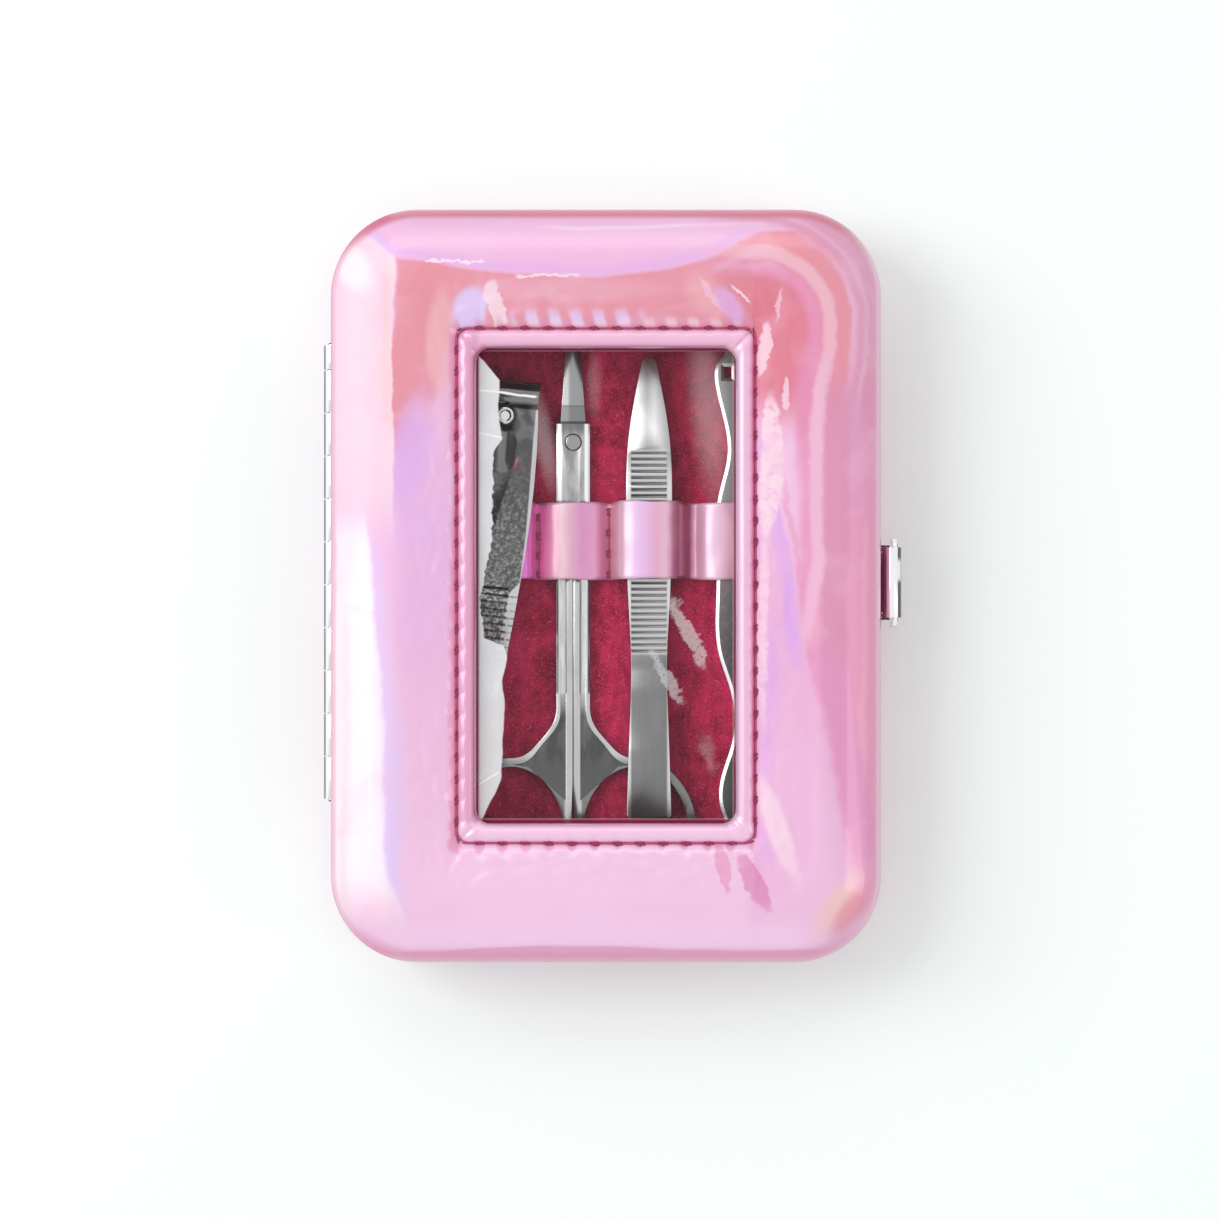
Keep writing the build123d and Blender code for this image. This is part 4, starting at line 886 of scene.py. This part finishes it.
def outline(half_x, half_y, radius):
    """Points round a rounded rectangle, in step with every other such outline."""
    points = []
    quarters = ((1, 1, 0), (-1, 1, 90), (-1, -1, 180), (1, -1, 270))
    for index, (sx, sy, start) in enumerate(quarters):
        cx, cy = sx * (half_x - radius), sy * (half_y - radius)
        for step in range(CORNER_STEPS + 1):
            angle = math.radians(start + 90 * step / CORNER_STEPS)
            points.append((cx + radius * math.cos(angle), cy + radius * math.sin(angle)))
        along_x = index in (0, 2)
        far = -1 if index in (0, 1) else 1
        begin = points[-1]
        if along_x:
            end = (far * (half_x - radius), begin[1])
        else:
            end = (begin[0], far * (half_y - radius))
        steps = SIDE_X_STEPS if along_x else SIDE_Y_STEPS
        points += [part_way(begin, end, step / steps) for step in range(1, steps)]
    return points


def smooth_faces(piece):
    for face in piece.data.polygons:
        face.use_smooth = True


def new_piece(name, points, faces, material):
    """A smooth piece from points in millimetres and the faces between them."""
    mesh = bpy.data.meshes.new(name)
    mesh.from_pydata([Vector(point) * MM for point in points], [], faces)
    mesh.materials.append(material)
    piece = bpy.data.objects.new(name, mesh)
    bpy.context.scene.collection.objects.link(piece)
    smooth_faces(piece)
    return piece


def reshape(piece, change):
    """Run a change on a piece's mesh."""
    mesh = bmesh.new()
    mesh.from_mesh(piece.data)
    change(mesh)
    mesh.to_mesh(piece.data)
    mesh.free()


def loft(name, rows, material, closed_section=False):
    """Skin a stack of outlines, each a list of (x, y, z) in millimetres, into a mesh."""
    count = len(rows[0])
    faces = []
    last = len(rows) if closed_section else len(rows) - 1
    for r in range(last):
        s = (r + 1) % len(rows)
        for i in range(count):
            j = (i + 1) % count
            faces.append((r * count + i, r * count + j, s * count + j, s * count + i))
    return new_piece(name, [point for row in rows for point in row], faces, material)


def finish_mesh(piece, cap_below=None):
    """Close the lowest opening if asked, and turn every face outwards."""
    def close_and_turn(mesh):
        if cap_below is not None:
            rim = [e for e in mesh.edges if e.is_boundary and e.verts[0].co.z < cap_below * MM]
            bmesh.ops.edgeloop_fill(mesh, edges=rim)
        bmesh.ops.recalc_face_normals(mesh, faces=mesh.faces)
    reshape(piece, close_and_turn)


def at_height(points, z):
    return [(x, y, z) for x, y in points]


def case_row(inset, z, tighten=1.0):
    """The case's outline, moved in by an inset, at a height."""
    return at_height(outline(HALF_X - inset, HALF_Y - inset, PLAN_CORNER - inset * tighten), z)


def seam_row(shrink, z):
    """The inner edge of the lid's skin, just outside the seam, at a height."""
    reach = SEAM_EDGE - shrink
    return at_height(outline(SEAM_HALF[0] + reach, SEAM_HALF[1] + reach, SEAM_CORNER), z)


def make_active(piece):
    bpy.ops.object.select_all(action="DESELECT")
    piece.select_set(True)
    bpy.context.view_layer.objects.active = piece


def basic_shape(add, name, **settings):
    """Add a plain shape to go on modelling from."""
    bpy.ops.object.select_all(action="DESELECT")
    add(**settings)
    piece = bpy.context.active_object
    piece.name = name
    return piece


def merged_copy(node, name, material):
    """A copy of a CAD piece with its loose triangles merged."""
    piece = bpy.data.objects.new(name, nodes[node].data.copy())
    bpy.context.scene.collection.objects.link(piece)
    reshape(piece, lambda mesh: bmesh.ops.remove_doubles(mesh, verts=mesh.verts, dist=1e-6))
    piece.data.materials.clear()
    piece.data.materials.append(material)
    return piece


def apply_modifier(piece, kind, **settings):
    """Add a modifier, set it and apply it."""
    make_active(piece)
    modifier = piece.modifiers.new(kind.lower(), kind)
    for key, value in settings.items():
        setattr(modifier, key, value)
    bpy.ops.object.modifier_apply(modifier=modifier.name)


def soften_edges(piece, width, angle):
    """Bevel the edges that are sharper than an angle in degrees."""
    apply_modifier(piece, "BEVEL", width=width * MM, segments=2, limit_method="ANGLE",
                   angle_limit=math.radians(angle), use_clamp_overlap=True)


def crisp(node, name, material, width=0.12):
    """A metal piece with its edges broken, so that they catch the light."""
    piece = merged_copy(node, name, material)
    reshape(piece, lambda mesh: bmesh.ops.dissolve_limit(
        mesh, angle_limit=math.radians(1.0), verts=mesh.verts, edges=mesh.edges))
    soften_edges(piece, width, 32)
    make_active(piece)
    bpy.ops.object.shade_smooth_by_angle(angle=math.radians(28))
    return piece


def ride_as(piece, body, *replaced, slot=None, fill=None):
    """Put a piece on its body, and hide the CAD pieces it stands for."""
    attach(piece, body)
    if replaced:
        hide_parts(*replaced)
    return piece


def seam_distance(x, y):
    """Distance outside the seam's rectangle."""
    dx, dy = abs(x) - SEAM_HALF[0], abs(y) - SEAM_HALF[1]
    return math.hypot(max(dx, 0), max(dy, 0)) + min(max(dx, dy), 0)


def stitch_phase(x, y):
    """Where a point lies between two stitch holes, in turns."""
    if (abs(x) - SEAM_HALF[0]) / SEAM_HALF[0] * 0.5 > (abs(y) - SEAM_HALF[1]) / SEAM_HALF[1]:
        return (y + SEAM_HALF[1]) / (2 * SEAM_HALF[1]) * STITCHES_DOWN
    return (x + SEAM_HALF[0]) / (2 * SEAM_HALF[0]) * STITCHES_ACROSS


def folds(x, y):
    """Height of the folds that the sewing pulls into the lid's skin, in millimetres."""
    distance = max(seam_distance(x, y), 0)
    between = abs(math.sin(math.pi * stitch_phase(x, y)))
    side = abs(x) > SEAM_HALF[0]
    reach = 0.7 if side else 1.5 if y > 0 else 0.9
    pillow = (0.46 * between ** 0.7 - 0.30) * math.exp(-distance / reach) * (0.35 if side else 1.0)
    place = Vector((x * 0.33, y * 0.17, 3.1)) if side else Vector((x * 0.17, y * 0.33, 7.7))
    near = math.exp(-((distance - 2.5) / 4.2) ** 2)
    distances = noise.voronoi(place)[0]
    crumple = -0.10 * near * (1 - min(1, (distances[1] - distances[0]) * 3.0))
    ripple = 0.08 * near * noise.noise(place * 2.3)
    return pillow + crumple + ripple + 0.16 * wander(x * 0.06, y * 0.045, 0.4)


def lid_skin():
    """The lid's puffed skin: tucked into the rim, rolled over, drawn down at the seam."""
    # How far in and how far up the rows lie that are tucked into the rim.
    tucked = ((1.6, 0.1), (0.9, 0), (0.35, 0.15), (0.08, 0.45))
    rows = [case_row(inset, cover_low.z + lift) for inset, lift in tucked]
    roll_steps, flat_steps = 22, 34
    for step in range(roll_steps + 1):
        angle = math.pi / 2 * step / roll_steps
        inset = CREST * (1 - math.cos(angle) ** 0.92)
        height = SIDE_FOOT + (SKIN_TOP - SIDE_FOOT) * math.sin(angle) ** 0.86
        rows.append(case_row(inset, height, ROLL_CORNER))
    start, end = case_row(CREST, SKIN_TOP, ROLL_CORNER), seam_row(0, SEAM_GROOVE)
    drop = SKIN_TOP - SEAM_GROOVE
    for step in range(1, flat_steps + 1):
        f = 1 - (1 - step / flat_steps) ** 1.35
        sink = 0.42 * drop * f ** 1.7 + 0.58 * drop * f ** 14
        row = []
        for crest_point, seam_point in zip(start, end):
            x, y, _ = part_way(crest_point, seam_point, f)
            folded = folds(x, y) * min(1, f * 4) * (1 - 0.6 * f ** 30)
            row.append((x, y, SKIN_TOP - sink + folded))
        rows.append(row)
    # The edge goes on down behind the binding.
    rows += [seam_row(shrink, SEAM_GROOVE - fall) for fall, shrink in ((0.3, 0.1), (0.7, 0.3))]
    piece = loft("lid_skin", rows, lid_finish)
    finish_mesh(piece)
    return piece


def base_skin():
    """The base's skin: a flat underside that wraps up to the rim."""
    roll, roll_steps = 5.0, 14
    inner = case_row(roll, 0.0)
    rows = [[(x * scale, y * scale, 0.0) for x, y, _ in inner] for scale in (0.3, 0.65, 0.95)]
    for step in range(roll_steps + 1):
        angle = math.radians(90 * step / roll_steps)
        sag = 0.12 * math.sin(angle) * math.cos(angle)
        row = case_row(roll * (1 - math.sin(angle)), roll * (1 - math.cos(angle)))
        rows.append([(x, y, z + sag * wander(x * 0.1, y * 0.08, 9.0)) for x, y, z in row])
    # How far in and how far down the rows lie that are tucked into the rim.
    for inset, fall in ((0.0, 1.6), (0.08, 0.9), (0.4, 0.3), (0.9, 0.02), (1.6, 0)):
        rows.append(case_row(inset, base_high.z - fall))
    piece = loft("base_skin", rows, base_finish)
    finish_mesh(piece, cap_below=1)
    return piece


def binding_roll():
    """The padded binding round the window: a soft roll between the seam and the opening."""
    low, high = film_high.z + 0.05, binding_high.z + 0.05
    outer = (SEAM_HALF[0] + 0.02, SEAM_HALF[1] + 0.02)
    steps = 18
    rows = []
    for step in range(steps + 1):
        angle = math.pi * step / steps
        across = (1 - math.cos(angle)) / 2
        rise = math.sin(angle) ** 0.75 if 0 < step < steps else 0.0
        start = SEAM_GROOVE - 0.35 if step < steps / 2 else low
        half = part_way(outer, OPENING_HALF, across)
        seam_side = max(0.0, 1 - across * 2.2)
        row = []
        for x, y in outline(*half, SEAM_CORNER + (OPENING_CORNER - SEAM_CORNER) * across):
            between = abs(math.sin(math.pi * stitch_phase(x, y)))
            pucker = (0.24 * between ** 0.7 - 0.16) * seam_side
            mitre = (abs(x) - SEAM_HALF[0]) - (abs(y) - SEAM_HALF[1])
            pucker -= 0.2 * math.exp(-(mitre / 0.45) ** 2)
            pucker += 0.10 * wander(x * 0.16, y * 0.12, 5.0)
            row.append((x, y, start + (high - start + pucker) * rise))
        rows.append(row)
    rows.append(at_height(outline(outer[0] - 0.2, outer[1] - 0.2, SEAM_CORNER), low))
    piece = loft("binding_roll", rows, roll_finish, closed_section=True)
    finish_mesh(piece)
    return piece


def window_sheet():
    """The clear film, held flat by its edges and slightly wavy between them."""
    piece = basic_shape(bpy.ops.mesh.primitive_grid_add, "window_sheet",
                        x_subdivisions=86, y_subdivisions=148, size=1)
    z = (film_low.z + film_high.z) / 2
    free_half, ease, depth = (17.5, 32), 3, 0.28
    for vertex in piece.data.vertices:
        x, y = vertex.co.x * 2 * film_high.x, vertex.co.y * 2 * film_high.y
        free_x, free_y = (min(1, max(0, (half - abs(place)) / ease))
                          for half, place in zip(free_half, (x, y)))
        wave = depth * wander(x * 0.07, y * 0.045, 2.0)
        vertex.co = Vector((x, y, z + wave * free_x * free_y)) * MM
    piece.data.materials.append(film_material)
    smooth_faces(piece)
    return piece


def velvet_piece(node, name, voxel, pile):
    """A velvet-covered copy of a CAD piece, with softened edges and an uneven pile."""
    piece = merged_copy(node, name, velvet)
    apply_modifier(piece, "REMESH", mode="VOXEL", voxel_size=voxel * MM)
    lump = 6 * MM
    moves = []
    for vertex in piece.data.vertices:
        lift = noise.noise(vertex.co / lump) * pile * MM
        moves.append(vertex.co + vertex.normal * lift)
    for vertex, target in zip(piece.data.vertices, moves):
        vertex.co = target
    smooth_faces(piece)
    return piece


# ---- stitches ------------------------------------------------------------------------
def choose_faces(piece, wanted):
    """Select the faces for which a test on their middle and normal holds."""
    mesh = bmesh.from_edit_mesh(piece.data)
    for face in mesh.faces:
        face.select_set(bool(wanted(face.calc_center_median(), face.normal)))
    bmesh.update_edit_mesh(piece.data)


def model_stitch(length, radius):
    """One stitch along X: a round of thread whose ends narrow and dive into the skin."""
    piece = basic_shape(bpy.ops.mesh.primitive_cylinder_add, "stitch", vertices=8,
                        radius=radius * MM, depth=length * 0.5 * MM,
                        rotation=(0, math.pi / 2, 0))
    bpy.ops.object.transform_apply(location=False, rotation=True, scale=False)
    bpy.ops.object.mode_set(mode="EDIT")
    # Each step out at an end: its share of the length, its fall and how far it narrows.
    end_steps = ((0.15, 0.06, 0.85), (0.10, 0.18, 0.7))
    for side in (1, -1):
        for reach, fall, narrow in end_steps:
            choose_faces(piece, lambda middle, normal: normal.x * side > 0.7)
            move = (side * length * reach * MM, 0, -fall * MM)
            bpy.ops.mesh.extrude_region_move(TRANSFORM_OT_translate={"value": move})
            bpy.ops.transform.resize(value=(1, narrow, narrow))
    bpy.ops.object.mode_set(mode="OBJECT")
    smooth_faces(piece)
    piece.data.materials.append(thread)
    return piece


def model_hole(radius, stretch):
    """One stitch hole: a small oval cup with a raised lip, painted dark inside as shade."""
    height, lip, sink = 0.24 * MM, 0.25 * radius * MM, 0.12 * MM
    piece = basic_shape(bpy.ops.mesh.primitive_cylinder_add, "stitch_hole", vertices=10,
                        radius=radius * MM, depth=height)
    bpy.ops.object.mode_set(mode="EDIT")
    choose_faces(piece, lambda middle, normal: normal.z > 0.7)
    bpy.ops.mesh.inset(thickness=lip)
    bpy.ops.mesh.extrude_region_move(TRANSFORM_OT_translate={"value": (0, 0, -sink)})
    bpy.ops.mesh.select_all(action="SELECT")
    bpy.ops.transform.resize(value=(stretch, 1, 1))
    bpy.ops.object.mode_set(mode="OBJECT")
    piece.data.materials.append(hole)
    return piece


def lay_copies(name, pattern, places, body):
    """Copies of a small piece, each turned and moved to its place, joined as one."""
    copies = []
    for x, y, z, turn in places:
        piece = bpy.data.objects.new(name, pattern.data.copy())
        spin = math.radians(turn)
        for vertex in piece.data.vertices:
            px, py = vertex.co.x, vertex.co.y
            vertex.co.x = px * math.cos(spin) - py * math.sin(spin) + x * MM
            vertex.co.y = px * math.sin(spin) + py * math.cos(spin) + y * MM
            vertex.co.z += z * MM
        bpy.context.scene.collection.objects.link(piece)
        copies.append(piece)
    bpy.data.objects.remove(pattern)
    make_active(copies[0])
    for piece in copies[1:]:
        piece.select_set(True)
    bpy.ops.object.join()
    ride_as(copies[0], body)


def seam_places():
    """Holes and stitches round the window seam: X, Y, Z and turn in degrees."""
    holes, stitches = [], []
    half_x, half_y = SEAM_HALF[0] + SEAM_EDGE, SEAM_HALF[1] + SEAM_EDGE
    ends = [(-half_x, half_y), (half_x, half_y), (half_x, -half_y), (-half_x, -half_y)]
    for side, start in enumerate(ends):
        end = ends[(side + 1) % 4]
        count = (STITCHES_ACROSS, STITCHES_DOWN)[side % 2]
        turn = math.degrees(math.atan2(end[1] - start[1], end[0] - start[0]))
        for index in range(count):
            sway = 2.5 * wander(index * 1.7, turn, 0.5)
            slope = 24 + 8 * wander(index * 2.3, turn, 3.5)
            hole_at = part_way(start, end, index / count)
            stitch_at = part_way(start, end, (index + 0.5) / count)
            holes.append((*hole_at, SEAM_GROOVE + HOLE_LIFT, turn - slope))
            stitches.append((*stitch_at, SEAM_GROOVE + STITCH_LIFT, turn + sway))
    return holes, stitches


def seam_thread():
    holes, stitches = seam_places()
    lay_copies("seam_thread", model_stitch(2.7, 0.18), stitches, "lid")
    lay_copies("seam_holes", model_hole(0.34, stretch=2.2), holes, "lid")


# ---- the strap -----------------------------------------------------------------------
STRAP_LOW_Y, STRAP_HIGH_Y = 0.9, 11.8
STRAP_SEWN = 4.95
# X and Z of the strap's underside, over one tool after another.
STRAP_ROUTE = [
    (-25.2, STRAP_SEWN), (-23.0, STRAP_SEWN), (-21.6, 9.45), (-11.0, 9.45), (-10.1, STRAP_SEWN),
    (-9.3, STRAP_SEWN), (-7.9, 6.9), (-6.6, 7.25), (-4.6, 7.4), (-2.6, 7.25), (-1.3, 6.9),
    (-0.2, STRAP_SEWN), (1.0, STRAP_SEWN), (2.3, 9.0), (3.6, 9.5), (6.0, 9.7), (8.4, 9.5),
    (9.7, 9.0), (11.2, STRAP_SEWN), (12.9, STRAP_SEWN), (14.2, 6.3), (16.5, 6.65),
    (24.8, 6.4), (26.0, STRAP_SEWN), (28.6, STRAP_SEWN),
]


def strap_points():
    """The strap's route with its turns eased, as points about a third of a millimetre apart."""
    pitch = 0.3
    dense = []
    for start, end in zip(STRAP_ROUTE, STRAP_ROUTE[1:]):
        steps = max(2, int(math.dist(start, end) / pitch))
        dense += [part_way(start, end, step / steps) for step in range(steps)]
    dense.append(STRAP_ROUTE[-1])
    easings = 7
    for _ in range(easings):
        eased = [dense[0]]
        for before, here, after in zip(dense, dense[1:], dense[2:]):
            eased.append(tuple((a + 2 * b + c) / 4 for a, b, c in zip(before, here, after)))
        dense = eased + [dense[-1]]
    return dense


def strap_skin():
    """The strap: a folded strip of the pink skin with slightly wavy edges."""
    route = strap_points()
    across, edge_wave, thickness = 24, 0.35, 0.45
    points, faces = [], []
    for x, z in route:
        lifted = (z - STRAP_SEWN) * 0.09
        high = STRAP_HIGH_Y - 0.25 + lifted + edge_wave * wander(x * 0.22, 4.0, 0)
        low = STRAP_LOW_Y + lifted * 0.4 + edge_wave * wander(x * 0.22, 9.0, 0)
        for step in range(across + 1):
            f = step / across
            dimple = 0.10 * wander(x * 0.35, f * 3.0, 1.0)
            points.append((x, low + (high - low) * f, z + 0.12 + max(dimple, -0.1)))
    for r in range(len(route) - 1):
        for i in range(across):
            a = r * (across + 1) + i
            faces.append((a, a + across + 1, a + across + 2, a + 1))
    piece = new_piece("tool_strap_skin", points, faces, strap_finish)
    apply_modifier(piece, "SOLIDIFY", thickness=thickness * MM, offset=1.0)
    finish_mesh(piece)
    smooth_faces(piece)
    return piece


def strap_thread(strap):
    """Rows of stitches that sew the strap down between the tools."""
    holes, stitches = [], []
    count = 3
    for x, top, foot in ((-9.4, 9.6, 1.6), (0.4, 10.4, 1.6)):
        near = [v.co.z for v in strap.data.vertices if abs(v.co.x - x * MM) < 0.25 * MM]
        skin_top = max(near) / MM
        pitch = (top - foot) / count
        for index in range(count + 1):
            holes.append((x, top - index * pitch, skin_top + 0.02, 90))
        for index in range(count):
            stitches.append((x, top - (index + 0.5) * pitch, skin_top + 0.04, 90))
    lay_copies("strap_thread", model_stitch(2.5, 0.16), stitches, "base")
    lay_copies("strap_holes", model_hole(0.5, stretch=1.2), holes, "base")


# ---- dressing ------------------------------------------------------------------------
def dress(material, *names):
    """Give CAD nodes a finish."""
    for name in names:
        mesh = nodes[name].data
        mesh.materials.clear()
        mesh.materials.append(material)


dress(board, "base_shell", "lid_shell")

# Body, CAD piece, finish, and width in millimetres to which its edges are broken.
CRISP_PIECES = [
    ("base", "base_frame", rim_metal, 0.08), ("lid", "lid_frame", rim_metal, 0.08),
    ("base", "base_hinge_leaf", hinge_metal, 0.08), ("lid", "lid_hinge_leaf", hinge_metal, 0.08),
    ("base", "hinge_pin", hinge_metal, 0.06),
    ("base", "latch_bracket", bracket_metal, 0.1), ("base", "latch_pin", bracket_metal, 0.05),
    ("latch", "latch_button", clasp_metal, 0.12), ("lid", "lid_striker", bracket_metal, 0.08),
    ("scissors_left_half", "scissors_left", scissors_steel, 0.14),
    ("scissors", "scissors_right", scissors_steel, 0.14),
    ("scissors", "scissors_screw", scissors_steel, 0.1),
    ("clipper", "clipper_lower_jaw", clipper_steel, 0.1),
    ("clipper", "clipper_upper_jaw", clipper_steel, 0.12),
    ("clipper", "clipper_tail_rivet", clipper_steel, 0.1),
    ("clipper", "clipper_post", hinge_metal, 0.14),
    ("clipper_lever_arm", "clipper_lever", lever_steel, 0.16),
    ("tweezers", "tweezers_upper_arm", tweezer_steel, 0.14),
    ("tweezers", "tweezers_lower_arm", tweezer_steel, 0.1),
]
for body, node, material, width in CRISP_PIECES:
    ride_as(crisp(node, node + "_finished", material, width), body, node)


def stamped_pusher():
    """The pusher's plate with a broad bevel ground all round its face."""
    bevel, rise = 0.45 * MM, 0.13 * MM
    piece = merged_copy("cuticle_pusher", "cuticle_pusher_finished", pusher_steel)
    top = max(vertex.co.z for vertex in piece.data.vertices)
    make_active(piece)
    bpy.ops.object.mode_set(mode="EDIT")
    choose_faces(piece, lambda middle, normal: normal.z > 0.99 and middle.z > top - 0.05 * MM)
    bpy.ops.mesh.inset(thickness=bevel, depth=rise, use_even_offset=True)
    bpy.ops.object.mode_set(mode="OBJECT")
    soften_edges(piece, 0.12, 60)
    return piece


ride_as(stamped_pusher(), "pusher", "cuticle_pusher")
# The leaf spring behind the button, with a mesh of its own.
spring = crisp("latch_spring", "latch_spring_finished", clasp_metal, 0.04)
ride_as(spring, "base", "latch_spring")
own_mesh(spring)

ride_as(lid_skin(), "lid", "lid_cover", "lid_padding", slot="pink_pu", fill=0.8)
ride_as(base_skin(), "base", "base_cover", "base_padding", slot="pink_pu", fill=0.5)
ride_as(binding_roll(), "lid", "window_binding", slot="pink_pu", fill=0.9)

film_sheet = ride_as(window_sheet(), "lid", "window_film", slot="clear_film")

# Body, CAD piece, name, voxel size and depth of the uneven pile in millimetres, fill.
VELVET_PIECES = [
    ("base", "tool_panel", "velvet_panel", 0.5, 0.10, 0.4),
    ("base", "base_lining", "velvet_lining", 0.45, 0.05, 0.3),
    ("lid", "lid_lining", "velvet_lid_lining", 0.45, 0.05, 0.3),
]
for body, node, name, voxel, pile, fill in VELVET_PIECES:
    ride_as(velvet_piece(node, name, voxel, pile), body, node, slot="velvet", fill=fill)

strap = ride_as(strap_skin(), "base", "tool_strap", slot="pink_pu")
strap_thread(strap)
seam_thread()


# ---- floor and surroundings ----------------------------------------------------------
def seen_directly(finish):
    """1 for what the camera sees straight, in a mirror or through clear material."""
    paths = finish.node("ShaderNodeLightPath").outputs
    straight, mirrored, through = (
        Number(finish, paths[f"Is {ray} Ray"]) for ray in ("Camera", "Glossy", "Transmission"))
    return straight.larger(mirrored).larger(through)


def make_floor():
    """A plain pale floor that keeps the object's shadow."""
    floor = basic_shape(bpy.ops.mesh.primitive_plane_add, "floor", size=3.0)
    ground = Finish("floor_paper", roughness=0.9, specular_ior_level=0.0, emission_strength=1.0)
    ground.set("Base Color", linear(236, 243, 240))
    glow = ground.mix(seen_directly(ground), (0, 0, 0, 1), (0.16, 0.16, 0.16, 1))
    ground.set("Emission Color", glow)
    floor.data.materials.append(ground.material)


class Surroundings(Finish):
    """The studio round the object, built with the same node tools."""

    def __init__(self, name):
        world = bpy.data.worlds.new(name)
        bpy.context.scene.world = world
        world.use_nodes = True
        self.tree = world.node_tree
        lamp_light = self.tree.nodes["Background"]
        lamp_light.inputs["Color"].default_value = (1, 1, 1, 1)
        lamp_light.inputs["Strength"].default_value = 0.66
        shown = self.node("ShaderNodeBackground", None, {"Color": (1, 1, 1, 1), "Strength": 1.0})
        output = self.tree.nodes["World Output"]
        values = {0: seen_directly(self), 1: lamp_light.outputs[0], 2: shown.outputs[0]}
        mixed = self.node("ShaderNodeMixShader", None, values)
        self.tree.links.new(mixed.outputs[0], output.inputs["Surface"])


make_floor()
Surroundings("studio")
